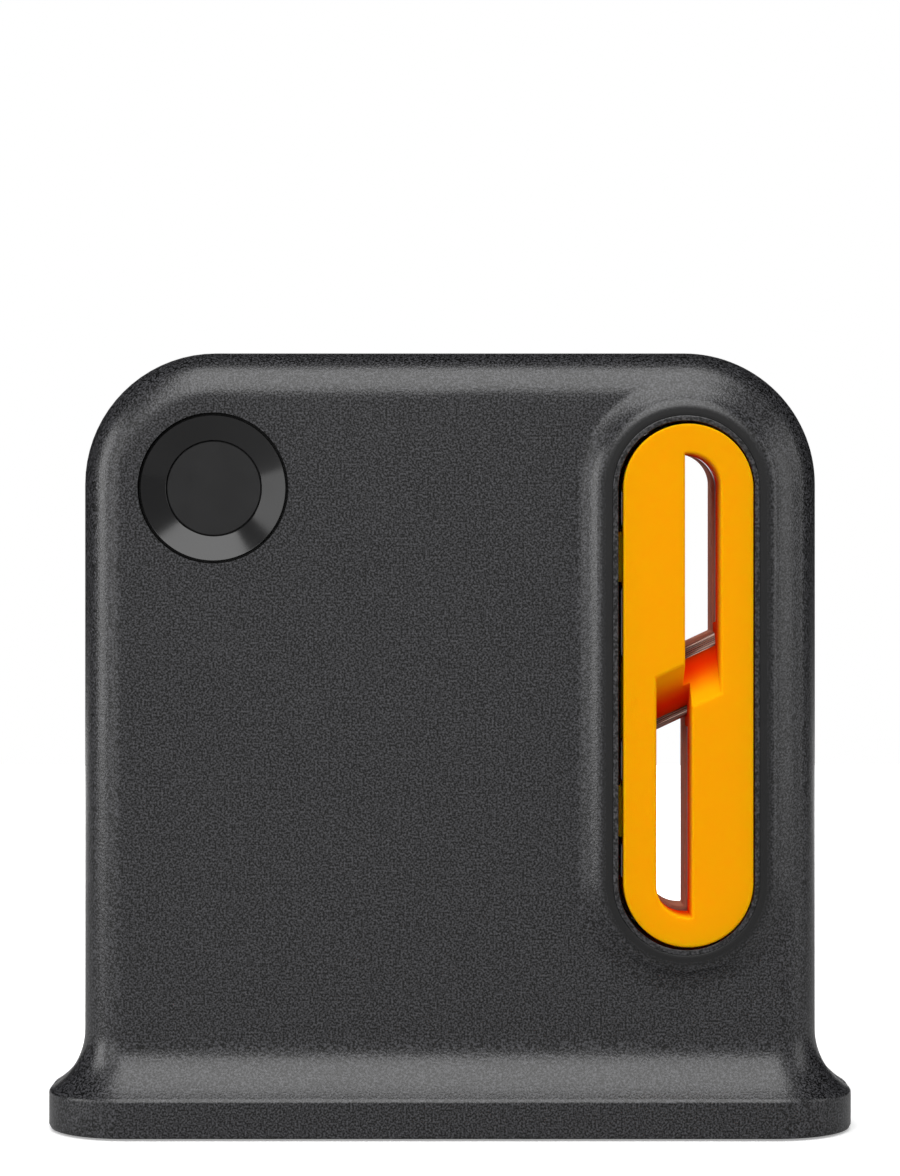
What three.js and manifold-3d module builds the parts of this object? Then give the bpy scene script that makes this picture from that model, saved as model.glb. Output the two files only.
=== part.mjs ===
// A desk sharpener for scissors. Two shells clamp a liner between them, and a cartridge pushes into
// the liner from the front. Each blade enters its own half of the S-shaped slot, and the scissors
// close over two slanted rods. Millimetres, +Z up, front towards -Y, origin on the ground under
// the middle of the foot.
import * as THREE from "three";
import { mergeVertices } from "three/addons/utils/BufferGeometryUtils.js";
import Module from "manifold-3d";

const wasm = await Module();
wasm.setup();

const degree = Math.PI / 180;

// Housing shells
const bodyWidth = 85.8;
const bodyThickness = 15;
const overallHeight = 91;
const topCornerRadius = 15.4;
const edgeRadius = 5.5;
const wall = 2;
const partingGap = 0.12;
const tongueReach = 1.2;
const tongueThickness = 0.9;
const tongueClearance = 0.15;

// Foot: a concave flare above a straight band, closed from below
const flareOut = 4.2;
const flareFront = 3.5;
const flareRadius = 7.9;
const bandHeight = 4.35;
const flareWallDrop = 1.2;
const soleProud = 0.3;
const soleThickness = 1;
const basePlateThickness = 2.4;
const stackGap = 0.05;
const footClearance = 0.3;

// Raised collar round the window, the same on the front and the rear
const collarRise = 1.55;
const collarRim = 0.77;
const collarRound = 1.8;
const collarSlope = 41 * degree;
const collarRoot = 1.2;
const windowClearance = 0.04;

// Liner, and the guide in its rear half that the blades run out through
const linerRim = 0.63;
const linerRimProud = 0.08;
const linerFlange = 2.7;
const flangeClearance = 0.2;
const rearRecess = 1.55;
const guideFit = 0.05;
const guideSlotMargin = 0.2;

// Round ring in the upper left corner
const badgeRadius = 8.45;
const badgeBore = 5.55;
const badgeSideMargin = 15.45;
const badgeTopMargin = 15.96;
const badgeEdgeDepth = 0.15;
const badgeConeDepth = 1.3;
const badgeThickness = 2.1;
const badgeGroove = 0.3;
const badgeFit = 0.15;
const badgeBacking = 1.2;

// Cartridge, placed by its margins to the housing
const cartridgeWidth = 14.92;
const cartridgeTopMargin = 8.61;
const cartridgeFootMargin = 22.11;
const windowSideMargin = 15.64;
const cartridgeProud = 2.25;
const boreClearance = 0.38;
const springPush = 0.2;
const coverDepth = 10.4;
const coverEdgeRadius = 0.25;
const tabEndMargin = 7.85;
const tabLength = 5.85;
const tabClearance = 0.12;
const tabStart = 4.2;
const tabEnd = 7.2;

// Slot: a flat guide wall just past the middle, an outer wall, a round end and a slanted end
const slotGuide = 0.4;
const slotOuter = 3.7;
const slotEndWall = 3.4;
const slantAngle = 25 * degree;
const rampFront = 2.42;
const rampEnd = 2.63;
const rampDepth = 7.3;
const rebateDepth = 6.9;
const rebateGuide = 1;
const rebateOuter = 0.5;
const rebateFloor = 4.8;
const rearSlotFloor = 3.87;

// Rods and the plate that holds them
const rodRadius = 1.6;
const rodLength = 10.4;
const rodExposure = 1.09;
const rodFlutes = 28;
const fluteDepth = 0.1;
const rodClearance = 0.12;
const retainerThickness = 1;
const retainerInset = 0.25;
const retainerSlotMargin = 0.3;
const retainerSlotFloor = 3.1;
const retainerClearance = 0.25;

// Leaf springs in the sides of the cartridge
const springThickness = 0.3;
const springWidth = 2.2;
const springStart = 3.4;
const springProud = 0.1;
const springDip = 0.6;
const springBend = 0.8;
const springBendShare = 0.4;
const springEndMargin = 0.3;
const springGrooveGap = 0.15;
const springMiddle = -1.6;
const springMiddleLength = 8.3;

// Screws
const housingScrew = { head: 2.5, headHeight: 1.8, shank: 1.2, length: 9 };
const baseScrew = { head: 2.2, headHeight: 1.2, shank: 1, length: 9.5 };
const cartridgeScrew = { head: 1.5, headHeight: 0.8, shank: 0.7, length: 5 };
const screwClearance = 0.2;
const driveWidth = 0.6;
const driveDepth = 0.7;
const driveShare = 0.6;
const tipShare = 0.5;
const postWall = 1.7;
const postGap = 0.3;
const screwSideMargin = 7.3;
const screwCollarMargin = 5;
const screwFootMargin = 11.5;
const screwTopMargin = 30;
const counterboreDepth = 3.4;
const baseScrewMargin = 11.3;
const baseBossBite = 0.5;
const baseBossRise = 4.1;
const cartridgeScrewX = 4.1;
const cartridgeScrewLow = 8.4;
const cartridgeScrewHigh = 20;

// Fineness of round stretches
const edgeSteps = 5;
const cornerSteps = 9;
const stadiumSteps = 12;
const flareSteps = 5;
const collarSteps = 4;
const roundSteps = 32;
const screwSteps = 14;
const overcut = 1;
const sunk = 0.1;
const mergeDistance = 1e-4;

// Places that follow from the sizes above
const frontFace = -bodyThickness / 2;
const rearFace = bodyThickness / 2;
const bandTop = soleProud + bandHeight;
const flareAngle = Math.acos(1 - flareOut / flareRadius);
const flareTop = bandTop + flareRadius * Math.sin(flareAngle);
const rimOffset = boreClearance + linerRim;
const windowOffset = rimOffset + windowClearance;
const collarFront = frontFace - collarRise;
const collarRimOffset = windowOffset + collarRim;
const collarFlank = collarRise + collarRoot - collarRound * (1 - Math.cos(collarSlope));
const collarFlankOffset = collarRimOffset + collarRound * Math.sin(collarSlope);
const collarOffset = collarFlankOffset + collarFlank / Math.tan(collarSlope);
const cartridgeHeight = overallHeight - cartridgeTopMargin - cartridgeFootMargin;
const windowX = bodyWidth / 2 - windowSideMargin;
const cartridgeX = windowX + springPush;
const cartridgeZ = cartridgeFootMargin + cartridgeHeight / 2;
const cartridgeStraight = (cartridgeHeight - cartridgeWidth) / 2;
const tabOffset = cartridgeStraight - tabEndMargin;
const springLength = 2 * (cartridgeStraight - springEndMargin);
const coverFront = frontFace - cartridgeProud;
const coverRear = coverFront + coverDepth;
const retainerFront = coverRear + stackGap;
const retainerRear = retainerFront + retainerThickness;
const guideFront = retainerRear + retainerClearance;
const rimFront = collarFront - linerRimProud;
const rimRear = -rimFront;
const guideRear = -collarFront - rearRecess;
const flangeHalf = bodyThickness / 2 - wall - flangeClearance;
const rodAcross = rampEnd + rodExposure - rodRadius;
const rodY = coverRear - rodRadius - stackGap;
const slotAlong = (slotOuter - slotGuide) / 2 / Math.cos(slantAngle);
const badgeX = -(bodyWidth / 2 - badgeSideMargin);
const badgeZ = overallHeight - badgeTopMargin;

// Materials
const charcoal = { color: 0x39393b, roughness: 0.55, metalness: 0 };
const warmGrey = { color: 0x94867f, roughness: 0.6, metalness: 0 };
const glossBlack = { color: 0x1b1b1d, roughness: 0.15, metalness: 0 };
const orange = { color: 0xf7a30f, roughness: 0.4, metalness: 0 };
const steel = { color: 0xa6a7a9, roughness: 0.3, metalness: 1 };
const rodSteel = { color: 0x8d8986, roughness: 0.35, metalness: 1 };
const rubber = { color: 0x1d1d1e, roughness: 0.85, metalness: 0 };

// A closed geometry as a solid, turned to face outwards.
function solidOf(geometry) {
  const bare = geometry.clone();
  bare.deleteAttribute("normal");
  bare.deleteAttribute("uv");
  const merged = mergeVertices(bare, mergeDistance);
  const vertProperties = new Float32Array(merged.attributes.position.array);
  const triVerts = new Uint32Array(merged.index.array);
  const made = new wasm.Manifold(new wasm.Mesh({ numProp: 3, vertProperties, triVerts }));
  if (made.volume() > 0) return made;
  triVerts.reverse();
  return new wasm.Manifold(new wasm.Mesh({ numProp: 3, vertProperties, triVerts }));
}

// The finished solid as a geometry for a mesh.
function geometryOf(solid) {
  const mesh = solid.getMesh();
  const geometry = new THREE.BufferGeometry();
  geometry.setAttribute("position", new THREE.BufferAttribute(mesh.vertProperties, mesh.numProp));
  geometry.setIndex(new THREE.BufferAttribute(mesh.triVerts, 1));
  geometry.computeVertexNormals();
  return geometry;
}

// Adds one named piece to a group.
function addPiece(group, name, solid, finish) {
  const mesh = new THREE.Mesh(geometryOf(solid), new THREE.MeshStandardMaterial(finish));
  mesh.name = name;
  group.add(mesh);
  return mesh;
}

// A solid through a stack of rings that have the same number of points, with flat ends.
function loft(rings) {
  const count = rings[0].length;
  const last = (rings.length - 1) * count;
  const faces = [];
  for (let k = 0; k < last; k += count) {
    for (let i = 0; i < count; i++) {
      const a = k + i;
      const b = k + ((i + 1) % count);
      faces.push(a, b, a + count, b, b + count, a + count);
    }
  }
  for (let i = 1; i + 1 < count; i++) {
    faces.push(0, i + 1, i);
    faces.push(last, last + i, last + i + 1);
  }
  const geometry = new THREE.BufferGeometry().setFromPoints(rings.flat());
  geometry.setIndex(faces);
  return geometry;
}

// A box between two corners.
function block(x0, x1, y0, y1, z0, z1) {
  const geometry = new THREE.BoxGeometry(x1 - x0, y1 - y0, z1 - z0);
  return geometry.translate((x0 + x1) / 2, (y0 + y1) / 2, (z0 + z1) / 2);
}

// A slab of space between two Y planes, wider and taller than the object.
function between(y0, y1, zLow = -overallHeight, zHigh = 2 * overallHeight) {
  return solidOf(block(-bodyWidth, bodyWidth, y0, y1, zLow, zHigh));
}

// A round bar along Y.
function barY(x, z, radius, y0, y1, steps = screwSteps) {
  const geometry = new THREE.CylinderGeometry(radius, radius, y1 - y0, steps);
  return solidOf(geometry.translate(x, (y0 + y1) / 2, z));
}

// A round bar along Z.
function barZ(x, y, radius, z0, z1) {
  const geometry = new THREE.CylinderGeometry(radius, radius, z1 - z0, screwSteps);
  geometry.rotateX(Math.PI / 2);
  return solidOf(geometry.translate(x, y, (z0 + z1) / 2));
}

// A shape drawn in X and Z, extruded from one Y to another.
function extrudeY(shape, y0, y1) {
  const options = { depth: y1 - y0, bevelEnabled: false, curveSegments: stadiumSteps };
  return new THREE.ExtrudeGeometry(shape, options).rotateX(Math.PI / 2).translate(0, y1, 0);
}

// The body above the foot, taken in by an inset all round: a slab with rounded edges.
function slab(inset) {
  const half = bodyWidth / 2 - inset;
  const top = overallHeight - inset;
  const bottom = -overallHeight / 2;
  const corner = topCornerRadius - inset;
  const round = edgeRadius - inset;
  const shape = new THREE.Shape();
  shape.moveTo(-half, bottom);
  shape.lineTo(half, bottom);
  shape.lineTo(half, top - corner);
  shape.absarc(half - corner, top - corner, corner, 0, Math.PI / 2);
  shape.lineTo(corner - half, top);
  shape.absarc(corner - half, top - corner, corner, Math.PI / 2, Math.PI);
  const depth = bodyThickness - 2 * inset - 2 * round;
  const geometry = new THREE.ExtrudeGeometry(shape, {
    depth,
    curveSegments: cornerSteps,
    bevelThickness: round,
    bevelSize: round,
    bevelOffset: -round,
    bevelSegments: edgeSteps,
  });
  return solidOf(geometry.translate(0, 0, -depth / 2).rotateX(Math.PI / 2));
}

// The body's plan at a height, grown by one amount at the sides and by another in front and behind.
function planRing(growX, growY, z) {
  const halfX = bodyWidth / 2 + growX;
  const halfY = bodyThickness / 2 + growY;
  const roundX = edgeRadius + growX;
  const roundY = edgeRadius + growY;
  const ring = [];
  for (let corner = 0; corner < 4; corner++) {
    const sideX = corner === 0 || corner === 3 ? 1 : -1;
    const sideY = corner < 2 ? 1 : -1;
    for (let step = 0; step <= edgeSteps; step++) {
      const angle = (corner + step / edgeSteps) * (Math.PI / 2);
      const x = sideX * (halfX - roundX) + roundX * Math.cos(angle);
      const y = sideY * (halfY - roundY) + roundY * Math.sin(angle);
      ring.push(new THREE.Vector3(x, y, z));
    }
  }
  return ring;
}

// A straight-sided solid on the foot's plan, set in from its outline.
function footPrism(inset, z0, z1) {
  const ringAt = (z) => planRing(flareOut - inset, flareFront - inset, z);
  return solidOf(loft([ringAt(z0), ringAt(z1)]));
}

// The foot with its flare, grown outwards by an amount and lowered by a drop.
function footSolid(grow, drop, bottom) {
  const rings = [planRing(flareOut + grow, flareFront + grow, bottom)];
  for (let step = flareSteps; step > 0; step--) {
    const angle = (flareAngle * step) / flareSteps;
    const share = (1 - Math.cos(angle)) / (1 - Math.cos(flareAngle));
    const z = flareTop - drop - flareRadius * Math.sin(angle);
    rings.push(planRing(flareOut * share + grow, flareFront * share + grow, z));
  }
  rings.push(planRing(grow - sunk, grow - sunk, flareTop - drop));
  return solidOf(loft(rings));
}

// The cartridge's outline grown by an amount, at one Y, about the cartridge's own axis.
function stadiumRing(grow, y) {
  const radius = cartridgeWidth / 2 + grow;
  const ring = [];
  for (let end = 0; end < 2; end++) {
    const centre = end === 0 ? -cartridgeStraight : cartridgeStraight;
    for (let step = 0; step <= stadiumSteps; step++) {
      const angle = (end + step / stadiumSteps) * Math.PI;
      ring.push(new THREE.Vector3(radius * Math.cos(angle), y, centre - radius * Math.sin(angle)));
    }
  }
  return ring;
}

// A straight-sided solid on the cartridge's outline.
function stadiumPrism(grow, y0, y1) {
  return loft([stadiumRing(grow, y0), stadiumRing(grow, y1)]);
}

// Moves a geometry from the window's own axis to its place in the housing.
function atWindow(geometry) {
  return solidOf(geometry.translate(windowX, 0, cartridgeZ));
}

// The collar on the front face: a flat rim, a rounded edge, and a flank that runs on into the wall.
function collarSolid() {
  const rings = [];
  for (let step = 0; step <= collarSteps; step++) {
    const angle = (collarSlope * step) / collarSteps;
    const offset = collarRimOffset + collarRound * Math.sin(angle);
    rings.push(stadiumRing(offset, collarFront + collarRound * (1 - Math.cos(angle))));
  }
  rings.push(stadiumRing(collarOffset, frontFace + collarRoot));
  return loft(rings);
}

// What the front window takes out of the collar and the wall.
function windowCutter() {
  return stadiumPrism(windowOffset, collarFront - overcut, frontFace + wall + overcut);
}

// The slot for the upper blade, as an outline about the cartridge's axis.
function slotShape(guide, outer, end, floor) {
  const rise = Math.tan(slantAngle);
  const level = floor / Math.cos(slantAngle);
  const centre = end - outer;
  const shape = new THREE.Shape();
  shape.moveTo(-guide, level - guide * rise);
  shape.lineTo(outer, level + outer * rise);
  shape.lineTo(outer, centre);
  shape.absarc(0, centre, outer, 0, Math.acos(-guide / outer));
  return shape;
}

// A geometry and its copy turned half a turn about the cartridge's axis, as one solid.
function bothHalves(geometry) {
  return solidOf(geometry).add(solidOf(geometry.clone().rotateY(Math.PI)));
}

// Both slots as straight cuts from one Y to another.
function slotCut(guide, outer, end, floor, y0, y1) {
  return bothHalves(extrudeY(slotShape(guide, outer, end, floor), y0, y1));
}

// A section drawn across the rod and along Y, extruded along the rod's slant about a middle X.
function alongSlant(shape, length, middle) {
  const across = new THREE.Vector3(-Math.sin(slantAngle), 0, Math.cos(slantAngle));
  const depth = new THREE.Vector3(0, 1, 0);
  const back = new THREE.Vector3(-Math.cos(slantAngle), 0, -Math.sin(slantAngle));
  const place = new THREE.Matrix4().makeBasis(across, depth, back);
  const options = { depth: length, bevelEnabled: false, curveSegments: stadiumSteps };
  const geometry = new THREE.ExtrudeGeometry(shape, options).translate(0, 0, -length / 2 - middle);
  return geometry.applyMatrix4(place);
}

// The ramp in front of the upper rod, cut to the width of its slot.
function rampCut() {
  const slope = (rampFront + rampEnd) / rampDepth;
  const shape = new THREE.Shape();
  shape.moveTo(rampEnd, coverFront + rampDepth);
  shape.lineTo(-rampFront - slope * overcut, coverFront - overcut);
  shape.lineTo(rampEnd + overcut, coverFront - overcut);
  shape.lineTo(rampEnd + overcut, coverFront + rampDepth);
  const wedge = solidOf(alongSlant(shape, cartridgeWidth, 0));
  const reach = cartridgeHeight / 2;
  const sides = block(-slotGuide, slotOuter, coverFront - overcut, coverRear, -reach, reach);
  return wedge.intersect(solidOf(sides));
}

// The channel for the upper rod, open to the rear.
function rodChannel() {
  const radius = rodRadius + rodClearance;
  const shape = new THREE.Shape();
  shape.moveTo(rodAcross + radius, coverRear + overcut);
  shape.lineTo(rodAcross - radius, coverRear + overcut);
  shape.lineTo(rodAcross - radius, rodY);
  shape.absarc(rodAcross, rodY, radius, Math.PI, 2 * Math.PI);
  return alongSlant(shape, rodLength + 2 * rodClearance, slotAlong);
}

// A rod with fine flutes along it, lying along Z about its own middle.
function flutedRod() {
  const shape = new THREE.Shape();
  for (let i = 0; i < 2 * rodFlutes; i++) {
    const radius = rodRadius - (i % 2) * fluteDepth;
    const angle = (i * Math.PI) / rodFlutes;
    const x = radius * Math.cos(angle);
    const y = radius * Math.sin(angle);
    if (i === 0) shape.moveTo(x, y);
    else shape.lineTo(x, y);
  }
  const options = { depth: rodLength, bevelEnabled: false };
  return new THREE.ExtrudeGeometry(shape, options).translate(0, 0, -rodLength / 2);
}

// A screw with its head towards +Y and the underside of its head at Y 0, or its head's outer face
// at Y 0 where it is countersunk.
function screw(size, countersunk) {
  const seat = countersunk ? -size.headHeight : 0;
  const top = countersunk ? 0 : size.headHeight;
  const profile = [
    new THREE.Vector2(0, -size.length),
    new THREE.Vector2(size.shank * tipShare, -size.length),
    new THREE.Vector2(size.shank, -size.length + size.shank),
    new THREE.Vector2(size.shank, seat),
    new THREE.Vector2(size.head, 0),
    new THREE.Vector2(size.head, top),
    new THREE.Vector2(0, top),
  ];
  const kept = profile.filter((point, i) => i === 0 || !point.equals(profile[i - 1]));
  const made = solidOf(new THREE.LatheGeometry(kept, screwSteps));
  const arm = size.head * driveShare;
  const half = driveWidth / 2;
  const low = top - driveDepth;
  const high = top + overcut;
  return made
    .subtract(solidOf(block(-arm, arm, low, high, -half, half)))
    .subtract(solidOf(block(-half, half, low, high, -arm, arm)));
}

// Where the four housing screws stand, seen from the front.
const screwColumns = [
  screwSideMargin - bodyWidth / 2,
  windowX - cartridgeWidth / 2 - collarOffset - screwCollarMargin,
];
const screwRows = [flareTop + screwFootMargin, overallHeight - screwTopMargin];
const housingScrewPlaces = screwColumns.flatMap((x) => screwRows.map((z) => [x, z]));

// Where the four base screws stand: two in each shell, their bosses let into its wall.
const baseBossRadius = baseScrew.shank + screwClearance + postWall / 2;
const baseScrewX = bodyWidth / 2 - baseScrewMargin;
const baseScrewY = bodyThickness / 2 - wall - baseBossRadius + baseBossBite;
const baseScrewPlaces = [-baseScrewX, baseScrewX].flatMap((x) => {
  return [-baseScrewY, baseScrewY].map((y) => [x, y]);
});

// Where the four screws of the cartridge stand, about its axis: in the two solid cheeks.
const cartridgeScrewPlaces = [
  [-cartridgeScrewX, cartridgeScrewLow],
  [-cartridgeScrewX, cartridgeScrewHigh],
  [cartridgeScrewX, -cartridgeScrewLow],
  [cartridgeScrewX, -cartridgeScrewHigh],
];

// Housing: the outside, the hollow, and what both shells have in common
const plateBottom = soleThickness + stackGap;
const plateTop = plateBottom + basePlateThickness;
const bossBottom = plateTop + postGap;
const screwSeat = rearFace - counterboreDepth;
const postEnd = -tongueReach - postGap;
const postRadius = housingScrew.shank + screwClearance + postWall;
const sleeveRadius = housingScrew.head + screwClearance + postWall / 2;
const baseBossTop = flareTop + baseBossRise;

const above = solidOf(
  block(-bodyWidth, bodyWidth, -bodyWidth, bodyWidth, bandTop, 2 * overallHeight),
);
const outside = slab(0).intersect(above).add(footSolid(0, 0, soleProud));
const platePocket = footPrism(wall, -overcut, plateTop + footClearance);
const hollow = slab(wall).add(footSolid(-wall, flareWallDrop, -overcut)).add(platePocket);
const shell = outside.subtract(hollow);
const frontHalf = between(-bodyWidth, -partingGap / 2);
const rearHalf = between(partingGap / 2, bodyWidth);

// Bosses for the base screws on one shell.
function withBaseBosses(half, side) {
  let made = half;
  for (const [x, y] of baseScrewPlaces) {
    if (Math.sign(y) !== side) continue;
    const boss = barZ(x, y, baseBossRadius, bossBottom, baseBossTop);
    const pilot = barZ(x, y, baseScrew.shank + screwClearance, 0, baseBossTop - wall);
    made = made.add(boss).subtract(pilot);
  }
  return made;
}

// Front shell: collar, window, posts for the screws, the ring's recess and the lap of the joint
function makeFrontHousing() {
  const badgeFloor = frontFace + badgeEdgeDepth + badgeThickness;
  const badgeOuter = badgeRadius + badgeGroove;
  const badgeWall = badgeOuter + badgeBacking;
  const badgeBack = badgeFloor + badgeBacking;
  let made = shell.intersect(frontHalf);
  made = made.add(atWindow(collarSolid()));
  made = made.add(barY(badgeX, badgeZ, badgeWall, frontFace + wall / 2, badgeBack, roundSteps));
  for (const [x, z] of housingScrewPlaces) {
    made = made.add(barY(x, z, postRadius, frontFace + wall / 2, postEnd));
  }
  made = withBaseBosses(made, -1);
  for (const [x, z] of housingScrewPlaces) {
    const pilot = housingScrew.shank + screwClearance;
    made = made.subtract(barY(x, z, pilot, screwSeat - housingScrew.length - postGap, rearFace));
  }
  made = made.subtract(atWindow(windowCutter()));
  const recess = barY(badgeX, badgeZ, badgeOuter, frontFace - overcut, badgeFloor, roundSteps);
  const discTop = frontFace + badgeConeDepth;
  const discRadius = badgeBore - badgeFit;
  const disc = barY(badgeX, badgeZ, discRadius, discTop, badgeFloor + overcut, roundSteps);
  made = made.subtract(recess.subtract(disc));
  const lapInset = wall - tongueThickness - tongueClearance;
  const lapReach = tongueReach + tongueClearance;
  const lap = slab(lapInset).subtract(slab(wall + tongueClearance));
  return made.subtract(lap.intersect(between(-lapReach, wall, flareTop)));
}

// Rear shell: the same collar, the screw sleeves and the tongue of the joint
function makeRearHousing() {
  let made = shell.intersect(rearHalf);
  made = made.add(atWindow(collarSolid().rotateZ(Math.PI)));
  for (const [x, z] of housingScrewPlaces) {
    made = made.add(barY(x, z, sleeveRadius, postEnd + postGap, rearFace - wall / 2));
  }
  made = withBaseBosses(made, 1);
  const tongue = slab(wall - tongueThickness).subtract(slab(wall));
  const tongueFoot = flareTop + wall;
  made = made.add(tongue.intersect(between(-tongueReach, wall, tongueFoot)));
  for (const [x, z] of housingScrewPlaces) {
    const bore = housingScrew.shank + screwClearance;
    const sink = housingScrew.head + screwClearance;
    made = made.subtract(barY(x, z, bore, postEnd - overcut, rearFace));
    made = made.subtract(barY(x, z, sink, screwSeat, rearFace + overcut));
  }
  return made.subtract(atWindow(windowCutter().rotateZ(Math.PI)));
}

// Liner: a tube with a flange, clamped between the shells
function makeLiner() {
  const tube = solidOf(stadiumPrism(rimOffset, rimFront, rimRear));
  const flange = solidOf(stadiumPrism(linerFlange, -flangeHalf, flangeHalf));
  const bore = solidOf(stadiumPrism(boreClearance, rimFront - overcut, rimRear + overcut));
  return tube.add(flange).subtract(bore);
}

// Guide: a block in the rear half of the liner, its exit slots in line with the cartridge's
function makeExitGuide() {
  const prism = stadiumPrism(boreClearance - guideFit, guideFront, guideRear);
  const body = solidOf(prism.translate(-springPush, 0, 0));
  const end = cartridgeHeight / 2 - slotEndWall + guideSlotMargin;
  const low = guideFront - overcut;
  const high = guideRear + overcut;
  return body.subtract(slotCut(slotGuide, slotOuter, end, rearSlotFloor, low, high));
}

// Ring that sits in the recess of the front shell, its face a shallow cone
function makeBadgeRing() {
  const back = frontFace + badgeEdgeDepth + badgeThickness - stackGap;
  const profile = [
    new THREE.Vector2(badgeBore, back),
    new THREE.Vector2(badgeBore, frontFace + badgeConeDepth),
    new THREE.Vector2(badgeRadius, frontFace + badgeEdgeDepth),
    new THREE.Vector2(badgeRadius, back),
    new THREE.Vector2(badgeBore, back),
  ];
  return solidOf(new THREE.LatheGeometry(profile, roundSteps).translate(badgeX, 0, badgeZ));
}

// Plate that closes the foot, with sunk holes for its screws
function makeBasePlate() {
  let made = footPrism(wall + footClearance, plateBottom, plateTop);
  for (const [x, y] of baseScrewPlaces) {
    const sink = baseScrew.head + screwClearance;
    const sinkTop = plateBottom + baseScrew.headHeight + stackGap;
    made = made.subtract(barZ(x, y, baseScrew.shank + screwClearance, 0, plateTop + overcut));
    made = made.subtract(barZ(x, y, sink, 0, sinkTop));
  }
  return made;
}

// The slots and ramps as the cover needs them, with the wider rebate behind the guide walls
function coverSlots() {
  const end = cartridgeHeight / 2 - slotEndWall;
  const ramp = rampCut();
  const turned = solidOf(geometryOf(ramp).rotateY(Math.PI));
  const wideGuide = slotGuide + rebateGuide;
  const wideOuter = slotOuter + rebateOuter;
  const wideEnd = end + rebateOuter;
  const rear = coverRear + overcut;
  const rebateFront = coverFront + rebateDepth;
  return slotCut(slotGuide, slotOuter, end, rampEnd, coverFront - overcut, rear)
    .add(slotCut(wideGuide, wideOuter, wideEnd, rebateFloor, rebateFront, rear))
    .add(ramp)
    .add(turned);
}

// Outline of the left spring: it stands proud, and dips under the tabs and in the middle.
// Its bends are limited by the room between two dips.
function springShape() {
  const proud = -cartridgeWidth / 2 - springProud;
  const dip = proud + springDip;
  const dips = [
    [tabOffset, tabLength],
    [springMiddle, springMiddleLength],
    [-tabOffset, tabLength],
  ];
  const high = springMiddle + springMiddleLength / 2;
  const low = springMiddle - springMiddleLength / 2;
  const room = tabOffset - tabLength / 2 - Math.max(high, -low);
  const bend = Math.min(springBend, springBendShare * room);
  const line = [[proud, springLength / 2]];
  for (const [middle, length] of dips) {
    const half = length / 2;
    line.push([proud, middle + half + bend]);
    line.push([dip, middle + half]);
    line.push([dip, middle - half]);
    line.push([proud, middle - half - bend]);
  }
  line.push([proud, -springLength / 2]);
  const shape = new THREE.Shape();
  shape.moveTo(line[0][0], line[0][1]);
  for (const [x, z] of line.slice(1)) shape.lineTo(x, z);
  for (const [x, z] of line.toReversed()) shape.lineTo(x + springThickness, z);
  return shape;
}

// Cover: the orange face, its slots, the rod channels, the spring grooves and the tabs
function makeCover() {
  const edge = coverEdgeRadius;
  const soft = edge * (1 - Math.SQRT1_2);
  const rings = [
    stadiumRing(-edge, coverFront),
    stadiumRing(-soft, coverFront + soft),
    stadiumRing(0, coverFront + edge),
    stadiumRing(0, coverRear),
  ];
  const side = -cartridgeWidth / 2;
  const grooveFloor = side - springProud + springDip + springThickness + springGrooveGap;
  const grooveFront = coverFront + springStart - springGrooveGap;
  const grooveRear = coverFront + springStart + springWidth + springGrooveGap;
  const grooveHalf = springLength / 2 + springGrooveGap;
  const groove = block(side - overcut, grooveFloor, grooveFront, grooveRear, -grooveHalf, grooveHalf);
  const tabFloor = side - springProud + springDip - springGrooveGap;
  const tabReach = boreClearance - tabClearance;
  let made = solidOf(loft(rings)).subtract(bothHalves(groove));
  for (const middle of [-tabOffset, tabOffset]) {
    const low = middle - tabLength / 2;
    const high = middle + tabLength / 2;
    const front = coverFront + tabStart;
    const rear = coverFront + tabEnd;
    const left = block(side - tabReach - springPush, tabFloor, front, rear, low, high);
    const right = block(-tabFloor, tabReach - side - springPush, front, rear, low, high);
    made = made.add(solidOf(left)).add(solidOf(right));
  }
  made = made.subtract(coverSlots()).subtract(bothHalves(rodChannel()));
  for (const [x, z] of cartridgeScrewPlaces) {
    const pilot = cartridgeScrew.shank + screwClearance;
    const tip = retainerRear - cartridgeScrew.length - postGap;
    made = made.subtract(barY(x, z, pilot, tip, coverRear + overcut));
  }
  return made;
}

// Steel plate behind the cover, which keeps the rods in their channels
function makeRetainer() {
  const end = cartridgeHeight / 2 - slotEndWall + retainerSlotMargin;
  const guide = slotGuide + retainerSlotMargin;
  const outer = slotOuter + retainerSlotMargin;
  const low = retainerFront - overcut;
  const high = retainerRear + overcut;
  let made = solidOf(stadiumPrism(-retainerInset, retainerFront, retainerRear));
  made = made.subtract(slotCut(guide, outer, end, retainerSlotFloor, low, high));
  const narrow = cartridgeScrew.shank + screwClearance;
  const wide = cartridgeScrew.head + screwClearance;
  const sink = new THREE.CylinderGeometry(wide, narrow, cartridgeScrew.headHeight, screwSteps);
  for (const [x, z] of cartridgeScrewPlaces) {
    const cone = sink.clone().translate(x, retainerRear - cartridgeScrew.headHeight / 2, z);
    made = made.subtract(barY(x, z, narrow, low, high)).subtract(solidOf(cone));
  }
  return made;
}

const sharpener = new THREE.Group();
const housing = new THREE.Group();
const cartridge = new THREE.Group();
cartridge.position.set(cartridgeX, 0, cartridgeZ);
sharpener.add(housing, cartridge);

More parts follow.
